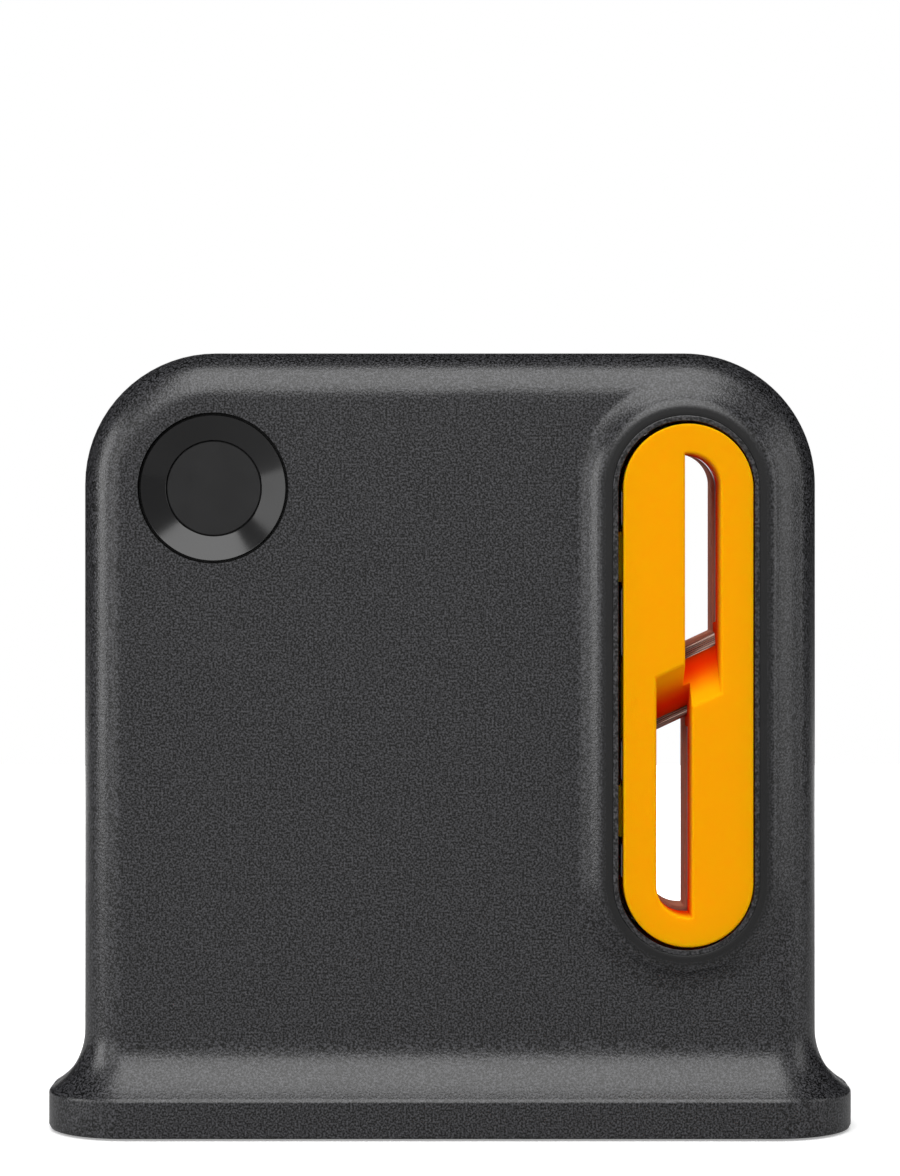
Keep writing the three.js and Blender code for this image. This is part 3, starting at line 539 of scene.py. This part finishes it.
def shellSkin(side):  # side -1 is the front
    rays = shellRays()
    radius = shell["edgeRadius"]
    bm = bmesh.new()
    layer = bm.verts.layers.int.new("ray")

    def onFace(point, depth):
        return Vector((point.x, side * (shell["deep"] - depth), point.y))

    def atOffset(ray, offset):
        return ray["core"] + ray["out"] * (track["half"] + offset)

    for ray in rays:
        ray["start"] = atOffset(ray, shell["collarReach"])
        ray["stop"] = ray["end"]
        if ray["inward"]:
            room = (ray["start"] - ray["end"]).dot(ray["inward"])
            ray["inner"] = min(radius, shell["edgeRoom"] * room)
            ray["stop"] = ray["end"] + ray["inward"] * ray["inner"]

    # the window's bore, the collar's rim, its round edge and its flank, then the plain face
    ring = bmesh.ops.create_circle(bm, cap_ends=False, segments=len(rays), radius=1)["verts"]
    for i, vert in enumerate(ring):
        vert[layer] = i
        vert.co = onFace(atOffset(rays[i], shell["windowOffset"]), shell["windowDepth"])
    edges = list(bm.edges)
    rimSteps, collarSteps, flankSteps = shell["rimSteps"], shell["collarSteps"], shell["flankSteps"]
    offsets = [lerp(shell["windowOffset"], shell["rimOffset"], k / rimSteps) for k in range(rimSteps + 1)]
    offsets += [shell["rimOffset"] + shell["collarRound"] * math.sin(shell["collarSlope"] * k / collarSteps)
                for k in range(1, collarSteps + 1)]
    offsets += [lerp(shell["rimOffset"] + shell["roundReach"], shell["collarReach"], k / flankSteps)
                for k in range(1, flankSteps + 1)]
    for offset in offsets:
        def onCollar(vert):
            point = atOffset(rays[vert[layer]], offset)
            return onFace(point, faceDepth(point.x, point.y))
        edges = nextRing(bm, edges, onCollar)
    for share in shell["faceShares"]:
        def onFlat(vert):
            ray = rays[vert[layer]]
            point = ray["start"].lerp(ray["stop"], share)
            return onFace(point, faceDepth(point.x, point.y))
        edges = nextRing(bm, edges, onFlat)

    # the rounded edge and the side, up one side, over the top and down the other
    chain = [e for e in edges if all(rays[v[layer]]["inward"] for v in e.verts)]
    roundSteps = shell["roundSteps"]
    for k in range(1, roundSteps + 1):
        def onRound(vert):
            ray = rays[vert[layer]]
            first = math.asin((radius - ray["inner"]) / radius)
            turn = lerp(first, math.pi / 2, k / roundSteps)
            point = ray["end"] + ray["inward"] * (radius - radius * math.sin(turn))
            fall = radius - radius * math.cos(turn)
            return onFace(point, faceDepth(point.x, point.y) if k < roundSteps else fall)
        chain = nextRing(bm, chain, onRound)
    seam = shell["deep"] - shell["seamGap"]
    for inset, depth in ((0, lerp(radius, seam, shell["sideShare"])), (0, seam - shell["seamChamfer"]),
                         (shell["seamChamfer"], seam)):
        def onSide(vert):
            ray = rays[vert[layer]]
            return onFace(ray["end"] + ray["inward"] * inset, depth)
        chain = nextRing(bm, chain, onSide)

    # the foot: a hollow flare, round at the sides and flatter in front, a crisp edge and a straight band
    low = [e for e in bm.edges if e.is_boundary
           and all(abs(v.co.z - shell["flareTop"]) < nearby for v in e.verts)]
    flareSteps = shell["flareSteps"]
    grown = (0, 0)
    levels = []
    for k in range(1, flareSteps + 1):
        angle = shell["flareAngle"] * k / flareSteps
        fall = math.sin(angle) / math.sin(shell["flareAngle"])
        levels.append((shell["flareRadius"] * (1 - math.cos(angle)),
                       shell["flareFront"] * fall ** shell["frontCurve"],
                       shell["flareTop"] - shell["flareRadius"] * math.sin(angle)))
    levels.append((shell["flareOut"], shell["flareFront"], shellLow.z + shell["soleEdge"]))
    tuck = shell["soleEdge"] / 2
    levels.append((shell["flareOut"] - tuck, shell["flareFront"] - tuck, shellLow.z))
    for atSide, atFace, z in levels:
        def onFoot(vert):
            away = planNormal(vert.co)
            return Vector((vert.co.x + away.x * (atSide - grown[0]),
                           vert.co.y + away.y * (atFace - grown[1]), z))
        low = nextRing(bm, low, onFoot)
        grown = (atSide, atFace)
    crisp = [e for e in bm.edges if all(abs(v.co.z - shell["bandTop"]) < nearby for v in e.verts)]
    bevelEdges(bm, crisp, shell["bandEdge"], shell["bandEdgeSteps"])
    rimY = shell["deep"] + shell["collarRise"]
    window = [e for e in bm.edges if len(e.link_faces) == 2 and e.calc_face_angle() > shell["windowFold"]
              and all(abs(abs(v.co.y) - rimY) < shell["rimBand"] for v in e.verts)]
    bevelEdges(bm, window, shell["windowEdge"], shell["windowEdgeSteps"])
    steps = len(fadingAbs) + 1
    for face in bm.faces:
        middle = face.calc_center_median()
        past = (trackOffset(middle.x, middle.z) - shell["rimOffset"]) / shell["fadeReach"]
        face.material_index = max(0, min(steps, math.ceil(past * steps)))
    bmesh.ops.recalc_face_normals(bm, faces=bm.faces)
    if sum(f.normal.y * f.calc_area() for f in bm.faces) * side < 0:
        bmesh.ops.reverse_faces(bm, faces=bm.faces)
    return bm


def shellObject(name, side):  # smooth on the collar's rim, and the grain runs out towards it
    piece = toObject(name, shellSkin(side), facing=True)
    for material in (smoothAbs, *fadingAbs, grainedAbs):
        piece.data.materials.append(material)
    thick = piece.modifiers.new("wall", "SOLIDIFY")
    thick.thickness = shell["wall"] * mm
    thick.offset = -1
    thick.use_even_offset = True
    settle(piece)
    return piece


badge = {"groove": 0.3, "backing": 1.2, "discFit": 0.15, "floor": 2.25, "coneDepth": 1.3, "edgeDepth": 0.15,
         "bore": 5.55, "edgeRound": 0.12, "edgeSteps": 3, "holeDepth": 4.0, "discRoot": 0.6, "steps": 128}
badgeLow, badgeHigh = boxMm("badge_ring")
badge["x"], _, badge["z"] = middleMm("badge_ring")
badge["radius"] = (badgeHigh.x - badgeLow.x) / 2
front = -shell["deep"]


def badgeBar(radius, y0, y1):
    return barTool([(badge["x"], badge["z"])], radius, y0, y1, badge["steps"])


frontShell = shellObject("frontShell", -1)
holeRadius = badge["radius"] + badge["groove"]
floor = front + badge["floor"]
carve(frontShell, badgeBar(holeRadius, front - overcut, front + badge["holeDepth"]))
carve(frontShell, badgeBar(holeRadius + badge["backing"], floor, floor + badge["backing"]), "UNION")
carve(frontShell, badgeBar(badge["bore"] - badge["discFit"], front + badge["coneDepth"],
                           floor + badge["discRoot"]), "UNION")
finishPiece(frontShell, "housing", "housing_plastic", None, "front_housing")
print("front shell", len(frontShell.data.polygons))

sleeve = {"sink": 2.7, "wall": 0.85, "depth": 3.4, "floor": 1.2, "bore": 1.4}
screwPlaces = [middleMm(f"housing_screw_{i}")[::2] for i in range(1, 5)]
seat = shell["deep"] - sleeve["depth"]

rearShell = shellObject("rearShell", 1)
carve(rearShell, barTool(screwPlaces, sleeve["sink"] + sleeve["wall"], seat - sleeve["floor"],
                         shell["deep"] - shell["wall"] / 2), "UNION")
carve(rearShell, barTool(screwPlaces, sleeve["sink"], seat, shell["deep"] + overcut))
carve(rearShell, barTool(screwPlaces, sleeve["bore"], seat - 2 * sleeve["floor"], seat + overcut))
finishPiece(rearShell, "housing", "housing_plastic", None, "rear_housing")
print("rear shell", len(rearShell.data.polygons))


# Round ring: its face is a shallow cone, lower in the middle

def spun(profile, steps):  # turned about the Y axis
    bm = bmesh.new()
    verts = [bm.verts.new((radius, y, 0)) for radius, y in profile]
    edges = [bm.edges.new(pair) for pair in zip(verts, verts[1:])]
    bmesh.ops.spin(bm, geom=verts + edges, cent=(0, 0, 0), axis=(0, 1, 0), angle=2 * math.pi, steps=steps,
                   use_merge=True)
    bmesh.ops.remove_doubles(bm, verts=bm.verts, dist=nearby)
    return bm


ringFront = (badge["bore"], front + badge["coneDepth"])
ringOuter = (badge["radius"], front + badge["edgeDepth"])
ringProfile = [(badge["bore"], badgeHigh.y), ringFront, ringOuter, (badge["radius"], badgeHigh.y),
               (badge["bore"], badgeHigh.y)]
bm = spun(ringProfile, badge["steps"])
bmesh.ops.translate(bm, vec=(badge["x"], 0, badge["z"]), verts=bm.verts)
badgeRing = toObject("badgeRing", bm)
softenEdges(badgeRing, badge["edgeRound"], badge["edgeSteps"])
finishPiece(badgeRing, "housing", "ring_plastic", glossAbs, "badge_ring")


# Sole: a rounded rubber pad, and the plate it covers

soleLow, soleHigh = boxMm("sole_pad")
sole = {"corner": shell["edgeRadius"] + (soleHigh.x - shell["half"]), "steps": 12, "edge": 0.2}
bm = bmesh.new()
addBox(bm, soleLow, soleHigh)
upright = [e for e in bm.edges if abs(e.verts[0].co.z - e.verts[1].co.z) > nearby]
bevelEdges(bm, upright, sole["corner"], sole["steps"])
solePad = toObject("solePad", bm)
softenEdges(solePad, sole["edge"])
finishPiece(solePad, "housing", "sole_rubber", soleRubber, "sole_pad")
for node, material in [("base_plate", smoothAbs)] + [(f"base_screw_{i}", screwSteel) for i in range(1, 5)]:
    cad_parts[node].data.materials.clear()
    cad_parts[node].data.materials.append(material)
print("ring and sole made")


# Cartridge: the slot's measures, about the cartridge's own axis

slant = math.radians(25)
along = Vector((math.cos(slant), 0, math.sin(slant)))
across = Vector((-math.sin(slant), 0, math.cos(slant)))
slot = {"guide": 0.4, "outer": 3.7, "endWall": 3.4, "steps": 64}
slot["end"] = track["half"] + track["run"] - slot["endWall"]
coverFront, coverRear = coverLow.y, coverHigh.y


def cutAway(bm, point, normal):  # takes off what lies past a plane and closes the cut
    geom = bm.verts[:] + bm.edges[:] + bm.faces[:]
    made = bmesh.ops.bisect_plane(bm, geom=geom, plane_co=point, plane_no=normal, clear_outer=True)
    rim = [g for g in made["geom_cut"] if isinstance(g, bmesh.types.BMEdge)]
    bmesh.ops.edgeloop_fill(bm, edges=rim)


def cartridgeTool(bm, turn, facing=False):  # turned about the cartridge's axis and brought to its place
    bmesh.ops.rotate(bm, cent=(0, 0, 0), matrix=Matrix.Rotation(turn, 3, "Y"), verts=bm.verts)
    bmesh.ops.translate(bm, vec=(track["x"], 0, track["z"]), verts=bm.verts)
    return toObject("tool", bm, facing)


def carveTwice(piece, build):  # for both halves of the cartridge
    for turn in (0, math.pi):
        bm = bmesh.new()
        build(bm)
        carve(piece, cartridgeTool(bm, turn))


# one half of the slot: a round top, a flat guide wall and a slanted floor
def slotPrism(grow, end, floor, y0, y1, guideGrow=None):
    outer = slot["outer"] + grow
    guide = slot["guide"] + (grow if guideGrow is None else guideGrow)

    def build(bm):
        verts = addDisc(bm, slot["steps"], outer)
        for vert in verts:
            if vert.co.z < 0:
                vert.co.z -= 2 * track["run"]
        bmesh.ops.translate(bm, vec=(0, y0, end - outer), verts=verts)
        extrudeFaces(bm, bm.faces[:], (0, y1 - y0, 0))
        cutAway(bm, (-guide, 0, 0), (-1, 0, 0))
        cutAway(bm, across * floor, -across)
    return build


# Liner: a tube round the cartridge with a flange, and the guide in its rear half with the exit slots

guideLow, guideHigh = boxMm("exit_guide")
liner = {"rim": 1.01, "bore": 0.38, "flangeHalf": 5.3, "guideFit": 0.05, "exitFloor": 3.87,
         "upperMargin": 0.5, "lowerMargin": 0.0, "edge": 0.1, "rimEdge": 0.14}
liner["flange"] = (linerHigh.x - linerLow.x) / 2 - track["half"]

windowX = track["windowX"]
flangeHalf = liner["flangeHalf"]
windowLiner = trackTool("windowLiner", windowX, liner["rim"], linerLow.y, linerHigh.y)
carve(windowLiner, trackTool("tool", windowX, liner["flange"], -flangeHalf, flangeHalf), "UNION")
carve(windowLiner, trackTool("tool", windowX, liner["bore"], linerLow.y - overcut, linerHigh.y + overcut))
softenEdges(windowLiner, liner["rimEdge"])
finishPiece(windowLiner, "housing", "housing_plastic", grainedAbs, "window_liner")

exitGuide = trackTool("exitGuide", windowX, liner["bore"] - liner["guideFit"], guideLow.y, guideHigh.y)
for turn, margin in ((0, liner["upperMargin"]), (math.pi, liner["lowerMargin"])):
    bm = bmesh.new()
    slotPrism(0, slot["end"] + margin, liner["exitFloor"], guideLow.y - overcut, guideHigh.y + overcut)(bm)
    carve(exitGuide, cartridgeTool(bm, turn))
softenEdges(exitGuide, liner["edge"])
finishPiece(exitGuide, "housing", "guide_plastic", guideNylonPaintedBounce, "exit_guide")
print("liner and guide", len(windowLiner.data.polygons), len(exitGuide.data.polygons))


# Cover: the orange face with both slots, the ramps, the rod channels, the spring grooves and the tabs

cover = {
    "edge": 0.25, "edgeSteps": 3, "slotEdge": 0.3,
    "rampFront": 2.42, "rampEnd": 2.63, "rampDepth": 7.3,
    "rebateDepth": 6.9, "rebateGuide": 1.0, "rebateOuter": 0.5, "rebateFloor": 4.8,
    "tabLength": 5.85, "tabStart": 4.2, "tabEnd": 7.2, "tabEndMargin": 7.85, "tabClearance": 0.12,
    "slotSide": 1.5, "weldReach": 0.001,
}
rod = {"radius": 1.6, "length": 10.4, "exposure": 1.09, "clearance": 0.12, "flutes": 34, "fluteDepth": 0.2,
       "fluteSteps": 5, "sharpAngle": 60, "edge": 0.15, "edgeSteps": 2, "rearGap": 0.05, "grooveSteps": 48}
rod["across"] = cover["rampEnd"] + rod["exposure"] - rod["radius"]
rod["along"] = (slot["outer"] - slot["guide"]) / 2 / math.cos(slant)
rod["y"] = coverRear - rod["radius"] - rod["rearGap"]
spring = {"thickness": 0.3, "width": 2.2, "start": 3.4, "proud": 0.1, "dip": 0.6, "bend": 0.8, "gap": 0.15,
          "endMargin": 0.3, "middle": -1.6, "middleLength": 8.3, "bendRound": 0.35,
          "bendSteps": 4}
spring["half"] = track["run"] - spring["endMargin"]
tabOffset = track["run"] - cover["tabEndMargin"]
side = -track["half"]


def rampWedge(bm):  # what the ramp in front of the rod takes out of the face
    run = cover["rampFront"] + cover["rampEnd"]
    reach = track["run"]
    addBox(bm, (-slot["guide"], coverFront - overcut, -reach),
           (slot["outer"], coverFront + cover["rampDepth"], reach))
    cutAway(bm, across * (cover["rampEnd"] + overcut), across)
    foot = across * cover["rampEnd"] + Vector((0, coverFront + cover["rampDepth"], 0))
    cutAway(bm, foot, across * -cover["rampDepth"] + Vector((0, run, 0)))


def slantFrame(y):  # a frame on the rod's middle: X across it, Y to the rear, Z along it
    middle = across * rod["across"] + along * rod["along"] + Vector((0, y, 0))
    axes = Matrix((across, Vector((0, 1, 0)), -along)).transposed().to_4x4()
    return Matrix.Translation(middle) @ axes


def rodGroove(bm):  # round in front of the rod and open to the rear
    radius = rod["radius"] + rod["clearance"]
    length = rod["length"] + 2 * rod["clearance"]
    deep = coverRear + overcut - rod["y"]
    steps = rod["grooveSteps"]
    verts = bmesh.ops.create_circle(bm, cap_ends=True, segments=steps, radius=radius)["verts"]
    bmesh.ops.rotate(bm, cent=(0, 0, 0), matrix=Matrix.Rotation(math.pi / steps, 3, "Z"), verts=verts)
    for vert in verts:
        if vert.co.y > 0:
            vert.co.y += deep
    extrudeFaces(bm, bm.faces[:], (0, 0, length))
    bmesh.ops.translate(bm, vec=(0, 0, -length / 2), verts=bm.verts)
    bmesh.ops.transform(bm, matrix=slantFrame(rod["y"]), verts=bm.verts)


def springGroove(bm):
    floor = side - spring["proud"] + spring["dip"] + spring["thickness"] + spring["gap"]
    half = spring["half"] + spring["gap"]
    start = coverFront + spring["start"]
    addBox(bm, (side - overcut, start - spring["gap"], -half),
           (floor, start + spring["width"] + spring["gap"], half))


def tabs(bm):  # on both sides, out to the liner's bore
    floor = side - spring["proud"] + spring["dip"] - spring["gap"]
    reach = liner["bore"] - cover["tabClearance"]
    push = track["push"]
    half = cover["tabLength"] / 2
    for middle in (-tabOffset, tabOffset):
        for outer, inner in ((side - reach - push, floor), (reach - side - push, -floor)):
            addBox(bm, (min(outer, inner), coverFront + cover["tabStart"], middle - half),
                   (max(outer, inner), coverFront + cover["tabEnd"], middle + half))


cartridgeCover = trackTool("cartridgeCover", track["x"], 0, coverFront, coverRear, cover["edge"],
                           cover["edgeSteps"])
carveTwice(cartridgeCover, springGroove)
bm = bmesh.new()
tabs(bm)
carve(cartridgeCover, cartridgeTool(bm, 0), "UNION")
carveTwice(cartridgeCover, slotPrism(0, slot["end"], cover["rampEnd"], coverFront - overcut,
                                     coverRear + overcut))
carveTwice(cartridgeCover, slotPrism(cover["rebateOuter"], slot["end"] + cover["rebateOuter"],
                                     cover["rebateFloor"], coverFront + cover["rebateDepth"],
                                     coverRear + overcut, cover["rebateGuide"]))
carveTwice(cartridgeCover, rampWedge)
weld(cartridgeCover, cover["weldReach"])
carveTwice(cartridgeCover, rodGroove)
softenFront(cartridgeCover, coverFront, cover["slotEdge"], cover["edgeSteps"])
cartridgeCover.data.materials.clear()
for material in (orangeAbs, slotAbsPaintedShade):
    cartridgeCover.data.materials.append(material)
# Faces inside the slots take the copy with painted shade.
for face in cartridgeCover.data.polygons:
    spot = face.center / mm
    face.material_index = int(trackOffset(spot.x - track["push"], spot.z) < -cover["slotSide"])
finishPiece(cartridgeCover, "cartridge", "cartridge_plastic", None, "cartridge_cover")
print("cover", len(cartridgeCover.data.polygons))


# Rods with rounded flutes, lying across the slots on their slant. Real flutes are finer than these,
# which are drawn coarser, so that they show.

def flutedRod(name, turn, node):
    bm = bmesh.new()
    steps = rod["flutes"] * rod["fluteSteps"]
    verts = bmesh.ops.create_circle(bm, cap_ends=True, segments=steps, radius=rod["radius"])["verts"]
    for i, vert in enumerate(verts):
        dip = (1 - math.cos(2 * math.pi * i / rod["fluteSteps"])) / 2
        vert.co *= 1 - rod["fluteDepth"] / rod["radius"] * dip ** 2
    extrudeFaces(bm, bm.faces[:], (0, 0, rod["length"]))
    rims = [e for e in bm.edges if abs(e.verts[0].co.z - e.verts[1].co.z) < nearby]
    bevelEdges(bm, rims, rod["edge"], rod["edgeSteps"])
    bmesh.ops.translate(bm, vec=(0, 0, -rod["length"] / 2), verts=bm.verts)
    bmesh.ops.transform(bm, matrix=slantFrame(rod["y"]), verts=bm.verts)
    bmesh.ops.recalc_face_normals(bm, faces=bm.faces)
    if bm.calc_volume(signed=True) < 0:  # the flutes can mislead the line before
        bmesh.ops.reverse_faces(bm, faces=bm.faces)
    piece = cartridgeTool(bm, turn, facing=True)
    piece.name = name
    finishPiece(piece, "cartridge", "rod_steel", rodSteelPaintedReflection, node, sharp=rod["sharpAngle"])


flutedRod("upperRod", 0, "upper_rod")
flutedRod("lowerRod", math.pi, "lower_rod")


# Retainer plate with its countersunk screws, and the housing's screws

retainer = {"slotMargin": 0.3, "floor": 3.1, "hole": 0.9, "sink": 1.7, "sinkDepth": 0.8, "edge": 0.12,
            "steps": 32}
smallPlaces = [middleMm(f"cartridge_screw_{i}")[::2] for i in range(1, 5)]

rodRetainer = trackTool("rodRetainer", track["x"], -track["plateInset"], retainLow.y, retainHigh.y)
carveTwice(rodRetainer, slotPrism(retainer["slotMargin"], slot["end"] + retainer["slotMargin"],
                                  retainer["floor"], retainLow.y - overcut, retainHigh.y + overcut))
carve(rodRetainer, barTool(smallPlaces, retainer["hole"], retainLow.y - overcut, retainHigh.y + overcut,
                           retainer["steps"]))
carve(rodRetainer, barTool(smallPlaces, retainer["hole"], retainHigh.y - retainer["sinkDepth"], retainHigh.y,
                           retainer["steps"], retainer["sink"]))
softenEdges(rodRetainer, retainer["edge"])
finishPiece(rodRetainer, "cartridge", "sheet_steel", sheetSteel, "rod_retainer")


def screwPiece(name, node, body, size):  # head towards the rear, with a cross recess
    low, high = boxMm(node)
    x, _, z = middleMm(node)
    rear = high.y
    head, shank, edge = size["head"], size["shank"], size["edge"]
    under = rear - size["headHeight"]
    profile = [(0, low.y), (shank / 2, low.y), (shank, low.y + shank), (shank, under)]
    if not size["sunk"]:
        profile.append((head, under))
    profile += [(head, rear - edge), (head - edge, rear), (0, rear)]
    bm = spun(profile, size["steps"])
    bmesh.ops.translate(bm, vec=(x, 0, z), verts=bm.verts)
    piece = toObject(name, bm)
    arm, half = size["drive"], size["driveWidth"] / 2
    for halfX, halfZ in ((arm, half), (half, arm)):
        bm = bmesh.new()
        addBox(bm, (-halfX, rear - size["driveDepth"], -halfZ), (halfX, rear + overcut, halfZ))
        bmesh.ops.translate(bm, vec=(x, 0, z), verts=bm.verts)
        carve(piece, toObject("tool", bm))
    finishPiece(piece, body, "screw_steel", screwSteel, node)


housingScrew = {"head": 2.5, "headHeight": 1.8, "shank": 1.2, "edge": 0.35, "sunk": False, "drive": 1.5,
                "driveWidth": 0.6, "driveDepth": 0.7, "steps": 40}
smallScrew = {"head": 1.5, "headHeight": 0.8, "shank": 0.7, "edge": 0.08, "sunk": True, "drive": 0.9,
              "driveWidth": 0.5, "driveDepth": 0.6, "steps": 40}
for i in range(1, 5):
    screwPiece(f"housingScrew{i}", f"housing_screw_{i}", "housing", housingScrew)
    screwPiece(f"cartridgeScrew{i}", f"cartridge_screw_{i}", "cartridge", smallScrew)


# Leaf springs: a strip that dips under the tabs and in the middle

def leafSpring(name, turn, node):
    proud = side - spring["proud"]
    dip = proud + spring["dip"]
    path = [(proud, spring["half"])]
    dips = ((tabOffset, cover["tabLength"]), (spring["middle"], spring["middleLength"]),
            (-tabOffset, cover["tabLength"]))
    for middle, length in dips:
        high, low = middle + length / 2, middle - length / 2
        path += [(proud, high + spring["bend"]), (dip, high), (dip, low), (proud, low - spring["bend"])]
    path.append((proud, -spring["half"]))
    start = coverFront + spring["start"]
    bm = bmesh.new()
    ends = [bm.verts.new((path[0][0], y, path[0][1])) for y in (start, start + spring["width"])]
    edges = [bm.edges.new(ends)]
    for x, z in path[1:]:
        edges = nextRing(bm, edges, lambda vert: Vector((x, vert.co.y, z)))
    bends = [e for e in bm.edges if len(e.link_faces) == 2]
    bevelEdges(bm, bends, spring["bendRound"], spring["bendSteps"])
    if bm.faces[:][0].normal.x > 0:
        bmesh.ops.reverse_faces(bm, faces=bm.faces)
    piece = cartridgeTool(bm, turn)
    piece.name = name
    thick = piece.modifiers.new("sheet", "SOLIDIFY")
    thick.thickness = spring["thickness"] * mm
    outward = piece.data.polygons[0].normal.x * math.cos(turn) < 0
    thick.offset = -1 if outward else 1
    settle(piece)
    finishPiece(piece, "cartridge", "sheet_steel", sheetSteel, node)


leafSpring("leftSpring", 0, "left_spring")
leafSpring("rightSpring", math.pi, "right_spring")
print("rods, retainer, screws and springs made")


# Floor: white to the camera with a soft shadow, dim to the object, which mirrors only what is far behind

def whiteShare(tree, behind):  # 1 where a ray should find the white background
    path = addNode(tree, "LightPath")
    passing = addNode(tree, "Math", {"operation": "MAXIMUM"}, {0: path.outputs["Is Glossy Ray"],
                      1: path.outputs["Is Transmission Ray"]})
    mirrored = addNode(tree, "Math", {"operation": "MULTIPLY"}, {0: passing.outputs[0],
                       1: behind.outputs["Result"]})
    share = addNode(tree, "Math", {"operation": "MAXIMUM"}, {0: path.outputs["Is Camera Ray"],
                    1: mirrored.outputs[0]})
    return share.outputs[0]


floorLook = {"size": 1.2, "near": 0.05, "far": 0.16, "glow": 0.35, "dim": "#acacac", "white": "#f2f2f2",
             "backStart": 0.2, "backEnd": 0.4}
bm = bmesh.new()
bmesh.ops.create_grid(bm, x_segments=2, y_segments=2, size=floorLook["size"] / 2 / mm)
studioFloor = toObject("studioFloor", bm)
floorPaper, tree, shader, place = newMaterial("whitePaper", {"Roughness": 0.9, "Specular IOR Level": 0.0})
spread = addNode(tree, "SeparateXYZ", None, {"Vector": place})
behind = addNode(tree, "MapRange", {"From Min": floorLook["backStart"],
                 "From Max": floorLook["backEnd"]}, {"Value": spread.outputs["Y"]})
white = whiteShare(tree, behind)
distance = addNode(tree, "VectorMath", {"operation": "LENGTH"}, {0: place})
glow = addNode(tree, "MapRange", {"interpolation_type": "SMOOTHSTEP",
               "From Min": floorLook["near"], "From Max": floorLook["far"], "To Min": floorLook["glow"],
               "To Max": 1.0}, {"Value": distance.outputs["Value"]})
seen = addNode(tree, "Math", {"operation": "MULTIPLY"}, {0: glow.outputs["Result"], 1: white})
paper = addNode(tree, "Mix", {"data_type": "RGBA", 6: toLinear(floorLook["dim"]),
                7: toLinear(floorLook["white"])}, {0: white})
plug(tree, shader, {"Base Color": paper.outputs[2], "Emission Strength": seen.outputs[0]})
shader.inputs["Emission Color"].default_value = (1, 1, 1, 1)
studioFloor.data.materials.append(floorPaper)

# Camera: level, on the middle of the foot, far enough for a nearly flat view

view = {"frameHeight": 1176, "focalPixels": 2900, "horizonPixel": 560, "sensor": 36, "distance": 332.3,
        "height": 66.7, "nearest": 10}
lens = bpy.data.cameras.new("camera")
lens.sensor_width = view["sensor"]
lens.lens = view["focalPixels"] * lens.sensor_width / view["frameHeight"]
lens.shift_y = (view["horizonPixel"] - view["frameHeight"] / 2) / view["frameHeight"]
lens.clip_start = view["nearest"] * mm
camera = bpy.data.objects.new("camera", lens)
camera.location = (0, (shellLow.y - view["distance"]) * mm, view["height"] * mm)
camera.rotation_euler = (math.pi / 2, 0, 0)
scene.collection.objects.link(camera)
scene.camera = camera

# Light: a panel high in front, one at each side, one at the left front, a soft one behind that is never
# mirrored, and a wide weak fill from the front

bodyMiddle = (0, -0.01, 0.06)
panels = {
    "topPanel": {"place": (0, -0.76, 1.0), "size": (1.1, 1.5), "power": 16.5},
    "leftPanel": {"place": (-0.478, -0.147, 0.1), "size": (0.19, 0.44), "power": 1.0},
    "leftFront": {"place": (-0.36, -0.38, 0.1), "size": (0.14, 0.4), "power": 0.33},
    "rightPanel": {"place": (0.478, -0.147, 0.1), "size": (0.19, 0.44), "power": 0.4},
    "rearPanel": {"place": (-0.1, 0.42, 0.36), "size": (0.4, 0.3), "power": 1.2, "aim": (0, 0.01, 0.05),
                  "mirrored": False},
}
for name, panel in panels.items():
    lamp = bpy.data.lights.new(name, "AREA")
    lamp.shape = "RECTANGLE"
    lamp.size, lamp.size_y = panel["size"]
    lamp.energy = panel["power"]
    lampObject = bpy.data.objects.new(name, lamp)
    lampObject.location = panel["place"]
    away = Vector(panel.get("aim", bodyMiddle)) - Vector(panel["place"])
    lampObject.rotation_euler = away.to_track_quat("-Z", "Y").to_euler()
    lampObject.visible_camera = False
    lampObject.visible_glossy = panel.get("mirrored", True)
    scene.collection.objects.link(lampObject)

fill = {"front": 0.34, "rear": 0.003, "turnFront": -0.45, "turnRear": 0.15, "cardEdge": 0.93}
studio = bpy.data.worlds.new("studio")
studio.use_nodes = True
scene.world = studio
tree = studio.node_tree
heading = addNode(tree, "TexCoord").outputs["Generated"]
split = addNode(tree, "SeparateXYZ", None, {"Vector": heading})
soft = addNode(tree, "MapRange", {"interpolation_type": "SMOOTHSTEP",
               "From Min": fill["turnFront"], "From Max": fill["turnRear"], "To Min": fill["front"],
               "To Max": fill["rear"]}, {"Value": split.outputs["Y"]})
card = addNode(tree, "MapRange", {"From Min": fill["cardEdge"]}, {"Value": split.outputs["Y"]})
surround = addNode(tree, "MapRange", {"To Max": 1.0},
                   {"Value": whiteShare(tree, card), "To Min": soft.outputs["Result"]})
background = tree.nodes["Background"]
background.inputs["Color"].default_value = (1, 1, 1, 1)
plug(tree, background, {"Strength": surround.outputs["Result"]})

scene.view_settings.view_transform = "Standard"
